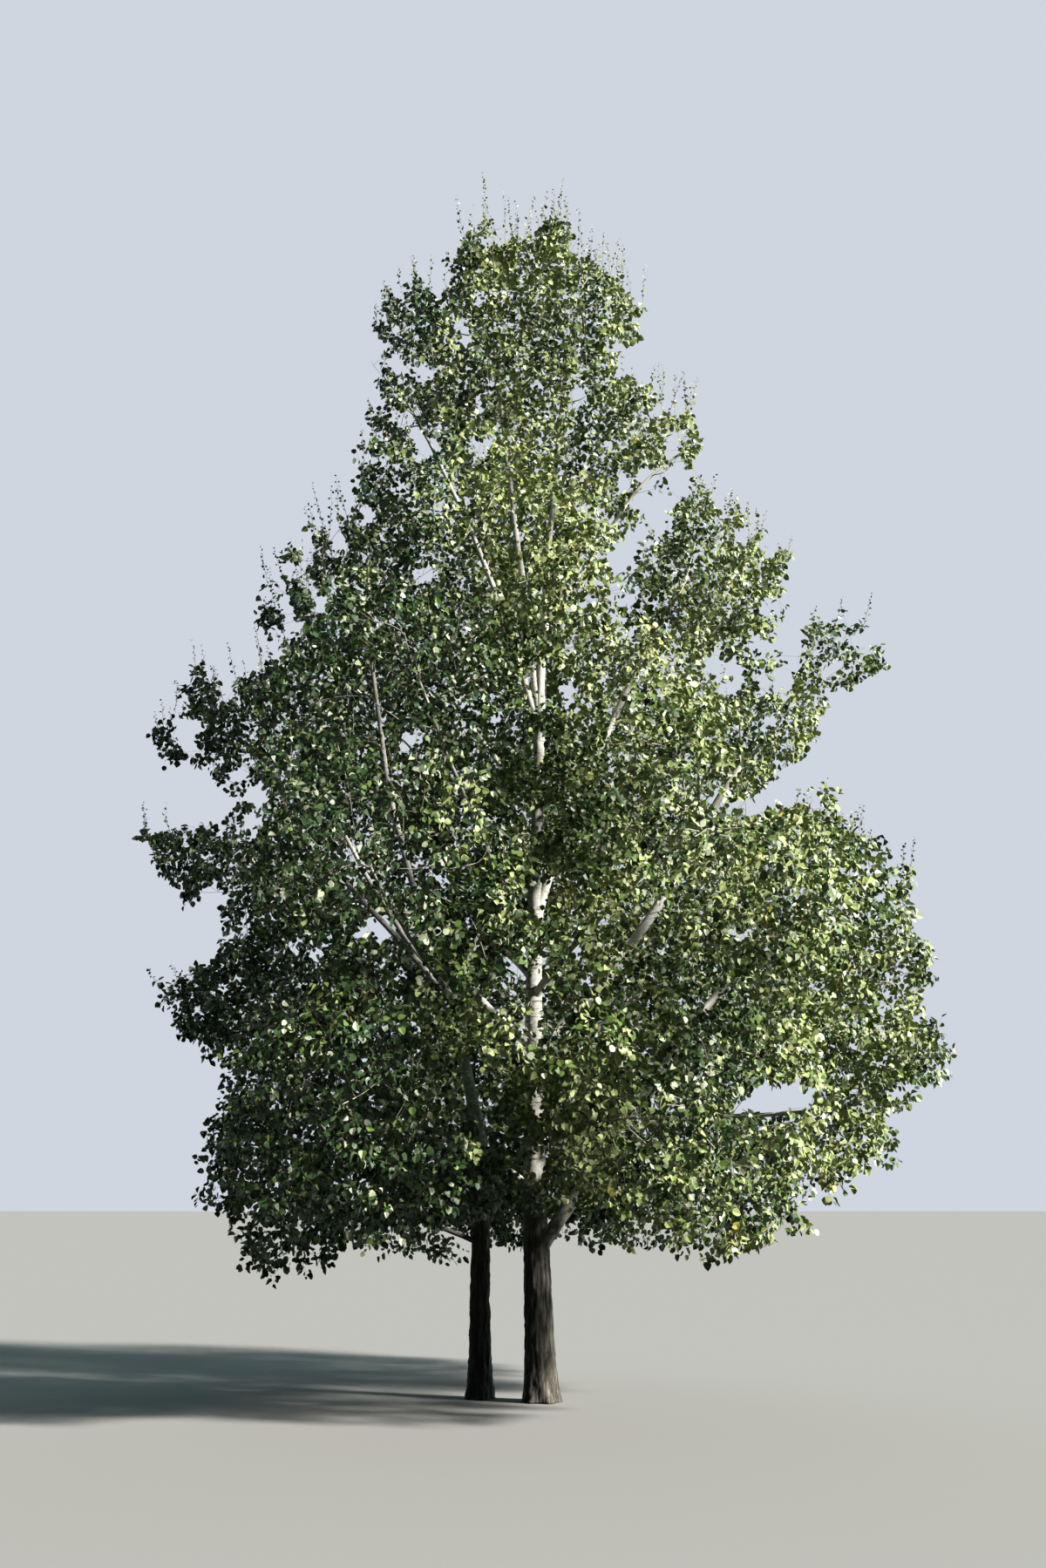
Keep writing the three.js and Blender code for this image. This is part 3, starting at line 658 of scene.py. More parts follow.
# Stretches of the trunk and limbs that show between the leaves: across, up, half sizes and slant as above, and
# how far in front of the trunk's plane the limb lies.
SHOWS = [
    (-0.06, 6.40, 0.17, 0.12, 90, 0), (-0.01, 5.82, 0.17, 0.08, 90, 0), (-0.02, 5.14, 0.15, 0.07, 90, 0),
    (0.0, 4.32, 0.13, 0.09, 90, 0), (-0.03, 3.6, 0.26, 0.12, 90, 0), (-0.08, 3.14, 0.18, 0.1, 90, 0),
    (-0.03, 1.99, 0.1, 0.085, 84, 0), (-0.03, 2.5, 0.13, 0.05, 96, 0), (-0.14, 1.4, 0.16, 0.07, 90, 0), (-0.27, 8.12, 0.28, 0.045, 92, 0),
    (-1.38, 5.7, 0.45, 0.05, 115, 0.25), (-1.64, 6.3, 0.24, 0.05, 108, 0.25), (-1.1, 4.7, 0.24, 0.05, 140, 0.35),
    (-1.72, 5.2, 0.36, 0.05, 120, 0.5), (-0.36, 3.36, 0.24, 0.07, 145, 0.1), (-0.62, 4.05, 0.22, 0.05, 110, 0),
    (-0.56, 2.64, 0.34, 0.11, 105, 0), (-0.5, 2.2, 0.12, 0.06, 110, 0), (0.24, 3.42, 0.22, 0.07, 50, 0), (0.42, 3.55, 0.16, 0.04, 50, 0),
    (1.78, 5.05, 0.28, 0.05, 48, 0.1), (0.2, 1.55, 0.12, 0.06, 60, 0), (-0.24, 1.98, 0.12, 0.06, 150, 0.1),
    (0.03, 7.3, 0.25, 0.035, 90, 0.1), (1.0, 9.15, 0.3, 0.05, 50, 0.1), (-1.05, 9.3, 0.25, 0.05, 115, 0.1),
]  # fmt: skip


# Where the view from the front needs more shoots than grow by chance: across, up, half width and height on the
# same plane, how far in front of it from and to, and how many shoots each square decimetre gets at least.
VEILS = [
    (-0.03, 6.1, 0.18, 0.12, 0.2, 1.5, 4), (-0.03, 5.48, 0.2, 0.2, 0.25, 1.6, 5), (-0.03, 4.8, 0.2, 0.18, 0.3, 1.7, 5),
    (-0.03, 4.02, 0.22, 0.2, 0.3, 1.8, 5), (0.02, 3.38, 0.14, 0.05, 0.3, 1.8, 4), (-0.02, 2.55, 0.26, 0.42, 0.3, 1.7, 6),
    (0.02, 1.68, 0.2, 0.14, 0.1, 0.8, 6), (-0.62, 1.62, 0.2, 0.12, 0.0, 0.9, 4), (0.26, 4.95, 0.16, 0.7, 0.1, 1.2, 7), (0.45, 2.28, 0.3, 0.24, 0.05, 0.35, 5), (0.52, 1.9, 0.24, 0.28, 0.15, 1.0, 5), (0.48, 4.75, 0.4, 0.42, 0.4, 1.7, 4), (-0.36, 5.55, 0.25, 0.3, 0.3, 1.5, 4),
    (0.4, 2.4, 0.34, 0.55, 0.3, 1.7, 5), (-0.62, 1.83, 0.26, 0.3, 0.0, 1.2, 5), (-0.3, 2.2, 0.2, 0.3, 0.2, 1.4, 4),
    (-0.3, 4.5, 0.2, 0.35, 0.3, 1.6, 4), (-0.35, 6.6, 0.3, 0.3, 0.2, 1.2, 4), (0.35, 5.9, 0.3, 0.3, 0.2, 1.4, 4),
    (-0.1, 6.95, 0.35, 0.3, 0.1, 1.1, 5), (-0.15, 7.55, 0.4, 0.3, 0.1, 1.0, 5), (-0.2, 8.6, 0.35, 0.25, 0.05, 0.8, 4),
    (-0.75, 3.95, 0.35, 0.45, 0.4, 1.5, 5), (-0.62, 3.2, 0.3, 0.25, 0.3, 1.5, 4), (-1.2, 5.1, 0.3, 0.3, 0.5, 1.5, 4),
    (-0.14, 11.05, 0.34, 0.4, -0.3, 0.25, 4), (-0.64, 11.2, 0.2, 0.34, -0.2, 0.2, 5), (0.22, 11.3, 0.2, 0.3, -0.2, 0.2, 5), (0.86, 10.5, 0.14, 0.3, -0.2, 0.2, 4), (-3.42, 4.78, 0.38, 0.2, -0.25, 0.3, 4), (-3.15, 5.95, 0.3, 0.3, -0.3, 0.3, 4),
    (-3.46, 5.84, 0.16, 0.12, -0.1, 0.2, 4), (-3.64, 5.96, 0.1, 0.1, -0.1, 0.15, 4), (3.3, 6.72, 0.2, 0.2, -0.2, 0.2, 4), (-3.2, 6.45, 0.14, 0.25, -0.25, 0.25, 3), (-3.05, 4.25, 0.25, 0.2, -0.3, 0.3, 4),
    (-0.3, 1.8, 0.25, 0.2, -1.2, 0.5, 4), (0.45, 1.8, 0.3, 0.25, -1.2, 0.4, 4), (-1.1, 1.7, 0.4, 0.25, -1.0, 0.6, 4),
]  # fmt: skip
FULL = 3.0  # shoots to each square decimetre of the view, anywhere inside the outline but the gaps


def wander(x, z):
    """Ragged edges for the gaps: a small shift that varies from place to place."""
    dx = 0.035 * np.sin(19 * z + 7 * x) + 0.028 * np.sin(43 * z - 17 * x + 1) + 0.02 * np.sin(83 * x + 31 * z)
    dz = 0.035 * np.sin(23 * x - 9 * z + 2) + 0.028 * np.sin(47 * x + 13 * z) + 0.02 * np.sin(91 * z - 37 * x)
    return x + dx, z + dz


def in_ellipses(x, z, rows):
    out = np.zeros(len(x), dtype=bool)
    for gx, gz, a, b, slant in rows:
        c, s = math.cos(math.radians(slant)), math.sin(math.radians(slant))
        u, v = (x - gx) * c + (z - gz) * s, -(x - gx) * s + (z - gz) * c
        out |= (u / a) ** 2 + (v / b) ** 2 < 1
    return out


left_edge = [v[0] for v in REACH], [v[1] for v in REACH]


def shows_sky(p, slack=0.0, grow_gaps=1.0):
    """Whether the view from the front has sky where these points show: outside the crown or in one of its gaps."""
    x, z = seen_at(p)
    x, z = wander(x, z)
    zs, left, right = (np.array(v) for v in zip(*REACH))
    out = (z > zs[0]) & ((x < np.interp(z, zs, left) - slack) | (x > np.interp(z, zs, right) + slack))
    return out | in_ellipses(x, z, [(gx, gz, a * grow_gaps, b * grow_gaps, s) for gx, gz, a, b, s in GAPS])


# Limbs that show as thin pale lines: name, from and to as shares of the way along, half width of the way left clear.
LIMBS_SHOW = [
    ("bough_left_upper", 0.42, 0.60, 0.06), ("bough_left_upper", 0.68, 0.9, 0.055), ("bough_left_lower", 0.3, 0.44, 0.06),
    ("bough_left_lower", 0.56, 0.74, 0.055), ("second_fork_left", 0.2, 0.36, 0.055), ("second_fork_left", 0.5, 0.66, 0.05),
    ("leader_middle", 0.34, 0.48, 0.05), ("leader_middle", 0.6, 0.7, 0.045), ("leader_right", 0.5, 0.6, 0.045),
    ("leader_left", 0.42, 0.54, 0.045), ("leader_left", 0.7, 0.8, 0.04), ("bough_right_big", 0.42, 0.56, 0.055),
    ("leader_low_right", 0.55, 0.66, 0.045),
]  # fmt: skip


def hides_limb(p):
    """Whether these points lie in front of a stretch of stem or limb that should show."""
    x, z = seen_at(p)
    out = np.zeros(len(x), dtype=bool)
    for name, t0, t1, wide in LIMBS_SHOW:
        line = np.array([tuple(curves[name].at(t)) for t in np.linspace(t0, t1, 16)])
        lx, lz = seen_at(line)
        box = (x > lx.min() - wide) & (x < lx.max() + wide) & (z > lz.min() - wide) & (z < lz.max() + wide)
        for i in np.where(box)[0]:
            gap = np.hypot(lx - x[i], lz - z[i])
            k = gap.argmin()
            out[i] |= bool(gap[k] < wide and p[i, 1] < line[k, 1] - 0.03)
    for gx, gz, a, b, slant, front in SHOWS:
        out |= in_ellipses(x, z, [(gx, gz, a, b, slant)]) & (p[:, 1] < -front)
    return out


# Stretches that the sun reaches: across, up, depth, half height and how wide a way to leave it, in m.
LIT = [
    (-0.05, 6.40, 0.0, 0.16, 0.13), (0.0, 5.82, 0.0, 0.1, 0.08), (-0.02, 3.6, 0.0, 0.22, 0.13), (-0.05, 3.14, 0.03, 0.08, 0.06),
    (-0.57, 2.64, 0.28, 0.28, 0.15), (-0.03, 2.0, -0.14, 0.08, 0.055), (-0.02, 2.5, -0.12, 0.08, 0.055), (0.24, 3.42, -0.05, 0.14, 0.09), (0.24, 1.6, 0.02, 0.04, 0.05),
    (1.78, 5.05, -0.1, 0.14, 0.08), (-0.27, 8.12, 0.0, 0.2, 0.06), (-1.38, 5.7, -0.3, 0.2, 0.05),
]  # fmt: skip


for name, t0, t1, wide in LIMBS_SHOW:
    if "left" in name:
        LIT += [(q.x, q.z, q.y, 0.02, 0.05) for q in (curves[name].at(t0 + (t1 - t0) * k / 4) for k in range(5))]


def keeps_sun_off(p):
    """Whether these points lie in the sun's way to such a stretch."""
    out = np.zeros(len(p), dtype=bool)
    s = np.array(SUN_FROM)
    for x, z, y, half, wide in LIT:
        for up in (-half, -half / 2, 0, half / 2, half):
            w = p - np.array([x, y, z + up])
            t = w @ s
            out |= (t > 0.04) & (t < 3.6) & (np.linalg.norm(w - t[:, None] * s, axis=1) < wide)
    return out


def above_dense(x, z, ease=1.0):
    """Whether points of the view lie among the thin shoots that stand clear of the dense leaves."""
    free = np.interp(z, (5, 8, 10), (0.1, 0.24, 0.45)) * rng.random(len(x)) ** 0.3 * ease
    low = np.interp(x, *zip(*CROWN_TOP)) - z < free
    high = np.interp(x, *zip(*DENSE_TOP)) - 0.1 * rng.random(len(x)) < z
    return np.where((z > 9.9) & (x > -1.75) & (x < 1.2), high, low)


def scatter(total, gap, out_to, hollow, clumps):
    """Points in and a little outside the masses, at least gap apart, closer at the thin top of the crown.
    hollow is the share left out deep inside; clumps how strongly the points gather in tufts."""
    lo, hi = skin_box[0] - out_to, skin_box[1] + out_to
    lo, hi = np.maximum(lo, LOW - 0.08), np.minimum(hi, HIGH + (0.08, 0.08, 0.0))
    chosen, of = [], []
    cell = {}
    rounds = 0
    g_now = gap
    while len(chosen) < total and rounds < 40:
        rounds += 1
        p = lo + rng.random((int(total * 1.5), 3)) * (hi - lo)
        inner = share_of_reach(p)
        p = p[(inner < 1.15) & (rng.random(len(p)) < np.clip(0.3 + 1.1 * inner, 0, 1))]
        depth, who = depth_at(p)
        chance = np.where(depth > 0, 1.0, np.clip(1 + depth / max(out_to, 1e-6), 0, 1) ** 0.5)
        x, z = seen_at(p)
        if out_to > 0:
            # the thin shoots at the very top stand clear of the rest
            chance = np.where(above_dense(x, z), chance * 0.06, chance)
            # and the left side of the crown is thin along its edge
            chance = chance * np.where(z > 4.8, np.interp(x - np.interp(z, *left_edge), (0.0, 0.5), (0.55, 1.0)), 1.0)
        chance = np.where((depth > 0.3) & (rng.random(len(p)) < hollow), 0, chance)
        ok = (rng.random(len(p)) < chance) & (depth > (0.03 if out_to == 0 else -9)) & ~shows_sky(p)
        if out_to > 0:
            ok &= ~(hides_limb(p) & (rng.random(len(p)) < 0.8))
        for q, w in zip(p[ok], who[ok]):
            if clumps:
                tall = 0.45 if q[2] > 7.5 else 0.8
                n = 0.7 * noise.noise(Vector((q[0] * 1.9, q[1] * 1.9, q[2] * 1.9 * tall)) + Vector((5, 1, 2)))
                n += 0.6 * noise.noise(Vector((q[0] * 4.1, q[1] * 4.1, q[2] * 4.1 * tall)))
                if n < -0.10 and rng.random() < clumps:
                    continue
            g = g_now * float(np.interp(q[2], (1.5, 3, 7, 10), (0.92, 1.02, 0.98, 0.8)))
            key = tuple((q / gap).astype(int))
            near = False
            for dx in (-1, 0, 1):
                for dy in (-1, 0, 1):
                    for dz in (-1, 0, 1):
                        for c in cell.get((key[0] + dx, key[1] + dy, key[2] + dz), ()):
                            if (c[0] - q[0]) ** 2 + (c[1] - q[1]) ** 2 + (c[2] - q[2]) ** 2 < g * g:
                                near = True
            if near:
                continue
            cell.setdefault(key, []).append(q)
            chosen.append(q)
            of.append(w)
        if rounds > 6:
            g_now *= 0.95
    print("scatter", total, len(chosen), "rounds", rounds, "gap", round(g_now, 3))
    pick = rng.permutation(len(chosen))[:total]
    return np.array(chosen)[pick], np.array(of)[pick]


def upright(z):
    """How strongly new growth turns up: little in the skirts, much at the top."""
    return float(np.interp(z, (1.2, 3.0, 6.0, 9.0), (-0.12, 0.1, 0.4, 0.75)))


def grow(targets, steps, radius_of, share, fan=10, rounds=9, keep=True):
    """Joins every target to the tree by a curved branch from the point that suits it best. Nearer targets go
    first, so that the branches of one order also fork from each other."""
    left = list(range(len(targets)))
    goals = [Vector(t) for t in targets]
    paths, radii, index = [], [], []
    for turn in range(rounds):
        if not left:
            break
        tree = kdtree.KDTree(len(net.p))
        for i, p in enumerate(net.p):
            tree.insert(p, i)
        tree.balance()
        costs = []
        for g in left:
            goal = goals[g]
            best = None
            for p, i, d in tree.find_n(goal, fan):
                v = goal - p
                if d < 0.03:
                    continue
                along = v.dot(net.d[i]) / d
                cost = d * (1.25 - 0.45 * along + 0.5 * max(0.0, -v.z / d) * (1.0 if goal.z > 2.5 else 0.3))
                if best is None or cost < best[0]:
                    best = (cost, i, d)
            if best:
                costs.append((best[0], g, best[1], best[2]))
        costs.sort()
        cut = len(costs) if turn == rounds - 1 else max(1, int(len(costs) * share) + 1)
        done = set()
        for cost, g, i, d in costs[:cut]:
            a, b = net.p[i], goals[g]
            v = (b - a) / d
            lift = upright(b.z)
            w0 = (net.d[i] * 0.5 + v * 0.7 + Vector((0, 0, 0.2 * lift))).normalized()
            w1 = (v + Vector((0, 0, lift * 0.8))).normalized()
            c = Curve(a, a + w0 * d * 0.38, b - w1 * d * 0.38, b)
            bend = Vector(rng.normal(0, 0.03 * d, 3))
            line = [c.at(s / steps) + bend * math.sin(math.pi * s / steps) for s in range(steps + 1)]
            r0, r1 = radius_of(d, net.r[i])
            rad = [r0 + (r1 - r0) * (s / steps) ** 0.8 for s in range(steps + 1)]
            paths.append([tuple(x) for x in line])
            radii.append(rad)
            index.append(g)
            if keep:
                for s in range(1, steps + 1):
                    net.add(line[s], (line[s] - line[s - 1]).normalized(), rad[s])
            done.add(g)
        left = [g for g in left if g not in done]
    return np.array(paths), np.array(radii), np.array(index)


# First order: one branch every 0.6 m or so inside the masses; then finer twigs; then leafy shoots.
first, _ = scatter(BRANCHES, 0.5, 0, 0.0, 0.0)
path1, rad1, _ = grow(first, 8, lambda d, r: (min(0.75 * r, 0.006 + 0.009 * d), 0.0038), 0.3)
second, _ = scatter(TWIGS, 0.25, 0, 0.3, 0.3)
path2, rad2, _ = grow(second, 4, lambda d, r: (min(0.8 * r, 0.0032 + 0.004 * d), 0.002), 0.3)
third, of3 = scatter(SHOOTS, 0.15, 0.2, 0.55, 0.8)


def on_view(x, z, y):
    """The points at depth y that show at x, z on the plane through the trunk."""
    t = (y - EYE[1]) / -EYE[1]
    return np.column_stack([EYE[0] + (x - EYE[0]) * t, y, EYE[2] + (z - EYE[2]) * t])


def set_in(points, x0, x1, z0, z1, need, depths):
    """New shoots for the cells of a part of the view that hold fewer than need, at depths given by a function."""
    cell = 0.1
    xs, zs = np.arange(x0, x1, cell), np.arange(z0, z1, cell)
    if not len(xs) or not len(zs):
        return []
    px, pz = seen_at(points)
    held, _, _ = np.histogram2d(px, pz, bins=(np.append(xs, xs[-1] + cell), np.append(zs, zs[-1] + cell)))
    pad = np.pad(held, 1, mode="edge")
    mean = sum(pad[i : i + len(xs), j : j + len(zs)] for i in range(3) for j in range(3)) / 9
    if callable(need):
        need = need(*np.meshgrid(xs + cell / 2, zs + cell / 2, indexing="ij"))
    lack = need - (0.5 * held + 0.5 * mean)
    out = []
    for i, j in zip(*np.where(lack > 0)):
        n = int(lack[i, j] + rng.random())
        if n:
            x, z = xs[i] + cell * rng.random(n), zs[j] + cell * rng.random(n)
            p = depths(x, z)
            if p is not None:
                out.append(p)
    return out


def inside_masses(x, z):
    """One depth for each place of the view, taken at random from where the sight line runs through the masses."""
    got = []
    for u, v in zip(x, z):
        aim = (Vector((u, 0, v)) - EYE).normalized()
        start, hits = EYE.copy(), []
        while len(hits) < 12:
            at, _, _, _ = skin.ray_cast(start, aim)
            if at is None:
                break
            hits.append(at)
            start = at + aim * 0.004
        spans = [(a, b) for a, b in zip(hits[::2], hits[1::2])]
        if not spans:
            near, _, _, far = skin.find_nearest(Vector((u, 0, v)))
            if near is None or far > 0.5:
                continue
            spans = [(near, near)]
        a, b = spans[int(rng.integers(len(spans)))]
        got.append(tuple(a + (b - a) * (0.08 + 0.6 * rng.random())))
    return np.array(got) if got else None


def spaced(new, old, gap):
    """Those of the new points that keep a gap to the old ones and to each other."""
    cell, out = {}, []
    for k, q in enumerate(np.concatenate([old, new])):
        g = gap * float(np.interp(q[2], (7, 10), (1.0, 0.8)))
        key = tuple(np.floor(q / gap).astype(int))
        if k >= len(old):
            around = [c for dx in (-1, 0, 1) for dy in (-1, 0, 1) for dz in (-1, 0, 1) for c in cell.get((key[0] + dx, key[1] + dy, key[2] + dz), ())]
            if any((c[0] - q[0]) ** 2 + (c[1] - q[1]) ** 2 + (c[2] - q[2]) ** 2 < g * g for c in around):
                continue
            out.append(q)
        cell.setdefault(key, []).append(q)
    return np.array(out)


def thin_left(x, z):
    low = np.interp(z, (3.9, 4.7), (1.35, 1.0)) * np.interp(x, (0.0, 1.5), (1.0, 0.97))
    return FULL * low * np.where(z > 4.8, np.interp(x - np.interp(z, *left_edge), (0.0, 0.5), (0.5, 0.95)), 1.0)


extra = []
for gx, gz, a, b, near_y, far_y, n in VEILS:
    ahead = third[(third[:, 1] < -near_y * 0.8)]
    extra += set_in(ahead, gx - a, gx + a, gz - b, gz + b, 0.85 * n, lambda x, z: on_view(x, z, -rng.uniform(near_y, far_y, len(x))))
veils = np.concatenate(extra)
veils = veils[(depth_at(veils)[0] > np.where(veils[:, 2] < 2.1, -0.8, -0.7)) & ~shows_sky(veils) & ~above_dense(*seen_at(veils), 0.9)]
veils = spaced(veils, third, 0.085)
print("veils", len(veils))
third, of3 = np.concatenate([third, veils]), np.concatenate([of3, depth_at(veils)[1]])
fill = np.concatenate(set_in(third, -3.9, 3.8, 1.9, 11.7, thin_left, inside_masses))
fill = fill[~shows_sky(fill, -0.03, 1.15) & ~(hides_limb(fill) & (rng.random(len(fill)) < 0.9))]
x, z = seen_at(fill)
fill = fill[~above_dense(x, z, 0.9)]
fill = spaced(fill, third, 0.1)
print("fill", len(fill))
third, of3 = np.concatenate([third, fill]), np.concatenate([of3, depth_at(fill)[1]])
# a few more shoots around the leaders, where the masses at the back leave a thin belt
belt = rng.uniform(-1, 1, (260, 3))
belt = np.array([-0.15, 0.5, 8.15]) + belt[(belt**2).sum(1) < 1] * np.array([0.75, 0.5, 0.55])
belt = spaced(belt[~shows_sky(belt, -0.03, 1.1) & ~hides_limb(belt)], third, 0.12)
print("belt", len(belt))
third, of3 = np.concatenate([third, belt]), np.concatenate([of3, depth_at(belt)[1]])
crowd = kdtree.KDTree(len(third))
for i, p in enumerate(third):
    crowd.insert(Vector(p), i)
crowd.balance()
kept = np.array([len(crowd.find_range(Vector(p), 0.32)) > (1 if abs(p[0]) > 2.8 and p[2] > 4.3 and abs(p[1]) < 0.6 else 4) for p in third])
print("lone shoots left out", (~kept).sum())
third, of3 = third[kept], of3[kept]
path3, rad3, at3 = grow(third, 2, lambda d, r: (min(0.8 * r, 0.0024), 0.0013), 0.35, fan=12, rounds=7)
of3 = of3[at3]

# Thin upright shoots that rise from shoots with nothing above them.
tops = path3[:, -1]
near = kdtree.KDTree(len(tops))
for i, p in enumerate(tops):
    near.insert(Vector(p), i)
near.balance()
top_x, top_z = (np.array(v) for v in zip(*CROWN_TOP))
path4, rad4, of4 = [], [], []
order = rng.permutation(len(tops))
order = order[np.argsort(-np.where(tops[order, 2] > 8.2, 2, 1) - rng.random(len(order)) * 0.9)]
used = []
for i in order:
    p = Vector(tops[i])
    if p.z < 3.2 or len(path4) >= SPIKES:
        continue
    if near.find_range(p + Vector((0, 0, 0.3)), 0.17) or near.find_range(p + Vector((0, 0, 0.55)), 0.22):
        continue
    if rng.random() < 0.3 or any((p - q).length_squared < 0.016 for q in used):
        continue
    tall = float(np.interp(p.z, (3, 7, 10, 11), (0.18, 0.34, 0.5, 0.6))) * (0.3 + 1.25 * rng.random() ** 1.7)
    out = Vector((p.x + 0.1, p.y - 0.1, 0)).normalized() * float(np.interp(p.z, (3, 9), (0.3, 0.08)))
    up = (Vector((0, 0, 1)) + out + Vector(rng.normal(0, 0.12, 3))).normalized()
    x, z = seen_at(np.array([p]))
    room = float(np.interp(x[0], top_x, top_z) - z[0])
    if room < 0.06:
        continue
    tall = min(tall, room)
    bend = Vector(rng.normal(0, 0.02, 3))
    line = [p + up * (tall * t) + bend * math.sin(2.4 * t) for t in (0, 0.33, 0.67, 1)]
    used.append(p)
    path4.append([tuple(q) for q in line])
    rad4.append([0.0024, 0.0019, 0.0015, 0.001])
    of4.append(of3[i])
path4, rad4, of4 = np.array(path4), np.array(rad4), np.array(of4)

# The boughs' own ends inside the masses, drawn out to twig thickness.
inner_pts, inner_faces = [], []
for name, parent, where, end, r0, r1, leave, arrive in BOUGHS:
    t0 = ends[name] - 0.012
    if t0 > 0.98:
        continue
    c = curves[name]
    steps = max(4, int((c.p[3] - c.p[0]).length * (1 - t0) / 0.09))
    start = len(inner_pts)
    inner_pts += [tuple(p) for p in bough_rings(name, r0, r1, t0, 1.0, steps, SIDES)]
    inner_faces += rings_to_faces(steps, SIDES, start)
    inner_pts.append(tuple(c.at(1.0) + c.way(1.0) * 0.02))
    for j in range(SIDES):
        inner_faces.append([len(inner_pts) - 1, start + steps * SIDES + (j + 1) % SIDES, start + steps * SIDES + j])


def twig_piece(name, parts, materials, index):
    pts, tris, n = [], [], 0
    for p, t in parts:
        pts.append(np.asarray(p, dtype=float))
        tris.append(np.asarray(t) + n)
        n += len(p)
    o = mesh_of(name, np.concatenate(pts), np.concatenate(tris), 3, materials, index, smooth=True)
    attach(o, "root")
    return o



# ---- Leaves ----------------------------------------------------------------------------------------

TINTS = [
    plain("leaf_deep", (0.019, 0.046, 0.011), 0.44, 0.45),
    plain("leaf_green", (0.090, 0.148, 0.033), 0.42, 0.45),
    plain("leaf_light", (0.252, 0.300, 0.112), 0.42, 0.45),
    plain("leaf_pale", (0.280, 0.312, 0.205), 0.5, 0.4),
    plain("leaf_yellow", (0.290, 0.275, 0.068), 0.45, 0.45),
]


def unit(v):
    return v / (np.linalg.norm(v, axis=-1, keepdims=True) + 1e-12)


def leaves_on(path, of, per_length, base, small, reach_back, rise):
    """Leaf feet, blade directions, face directions, sizes and shoot numbers for many shoots at once."""
    n = len(path)
    length = np.linalg.norm(np.diff(path, axis=1), axis=2).sum(1)
    leafy = np.minimum(length, reach_back)
    base = base + np.interp(path[:, -1, 2], (3.6, 5.0), (1.3, 0.0))  # fuller low down
    count = np.clip(np.round(base + per_length * leafy + rng.normal(0, 1.2, n)), 4, 24).astype(int)
    shoot = np.repeat(np.arange(n), count)
    order = np.arange(len(shoot)) - np.repeat(np.cumsum(count) - count, count)
    f = order / np.maximum(1, np.repeat(count, count) - 1)
    start = 1 - leafy / length * 0.97
    t = start[shoot] + (1 - start[shoot]) * f ** 0.85
    t = np.clip(t + rng.normal(0, 0.02, len(t)), 0, 1)
    k = path.shape[1] - 1
    s = np.clip((t * k).astype(int), 0, k - 1)
    w = (t * k - s)[:, None]
    p = path[shoot, s] * (1 - w) + path[shoot, s + 1] * w
    along = unit(path[shoot, s + 1] - path[shoot, s])
    ref = np.where(np.abs(along[:, 2:3]) > 0.8, np.array([[1.0, 0, 0]]), np.array([[0, 0, 1.0]]))
    side = unit(np.cross(along, ref))
    over = np.cross(side, along)
    turn = order * 2.4 + rng.uniform(0, 6.28, n)[shoot] + rng.normal(0, 0.35, len(shoot))
    out = side * np.cos(turn)[:, None] + over * np.sin(turn)[:, None]
    stalk = unit(out * 0.9 + along * (0.45 + rise) + np.array([0, 0, 0.05]) + rng.normal(0, 0.18, p.shape))
    size = LEAF * small * rng.normal(1.0, 0.17, len(p)).clip(0.55, 1.4)
    size *= 0.82 + 0.25 * np.sin(np.pi * np.clip(f, 0, 1) * 0.9)
    size *= 1 + np.interp(share_of_reach(p), (0.3, 0.75), (0.35, 0.0)) * np.interp(p[:, 2], (7, 8.5), (1.0, 0.0)) * np.interp(p[:, 1], (-0.4, 0.2), (0.0, 1.0))
    if rise:
        size *= 1.15 - 0.6 * f
    foot = p + stalk * (size * rng.uniform(0.45, 0.8, len(p)))[:, None]
    # the blade hangs from its thin stalk and flutters: its direction sags, its face turns out of the crown and up
    sag = rng.uniform(0.1, 1.1, (len(p), 1)) * np.interp(p[:, 2:3], (3, 10), (1.0, 0.45)) * (0.3 if rise else 1.0)
    blade = unit(stalk * rng.uniform(0.3, 1.0, (len(p), 1)) - np.array([0, 0, 1.0]) * sag + rng.normal(0, 0.35, p.shape))
    away = np.column_stack([p[:, 0] + 0.1, p[:, 1] - 0.1, np.zeros(len(p))])
    turned = np.array([noise.noise_vector(Vector(q) * 2.1) for q in path[:, -1]])
    face = rng.normal(0, 0.46, p.shape) + (rng.normal(0, 0.45, (n, 3)) + turned * 1.25)[shoot] + unit(away) * 0.5 + np.array([0.0, 0.0, 0.6])
    # on the sunny side of the front the leaves turn a little to the light
    sunny = np.interp(p[:, 0], (-0.9, 0.1), (0, 0.4)) * np.interp(p[:, 2], (6.3, 7.5), (1, 0)) * np.interp(p[:, 1], (-0.2, 0.8), (1, 0))
    face = face + sunny[:, None] * np.array(SUN_FROM)
    face = unit(face - blade * (face * blade).sum(1, keepdims=True))
    return p, foot, blade, face, size, shoot, of[shoot]


a = leaves_on(path3, of3, 24.0, 5.2, 1.0, 0.28, 0.0)
b = leaves_on(path4, of4, 28.0, 3.0, 0.56, 0.7, 0.9)
spiky = np.concatenate([np.zeros(len(a[0]), dtype=bool), np.ones(len(b[0]), dtype=bool)])
stalk_foot, foot, blade, face, size, shoot, mass = (np.concatenate([x, y]) for x, y in zip(a, b))
shoot[len(a[0]) :] += len(path3)
middle = foot + blade * (size * 0.5)[:, None]
keep = ~shows_sky(middle, 0.05, 0.9) | spiky
keep &= ~(hides_limb(middle) & (rng.random(len(middle)) < 0.84))
keep &= ~(keeps_sun_off(middle) & (rng.random(len(middle)) < 0.93))
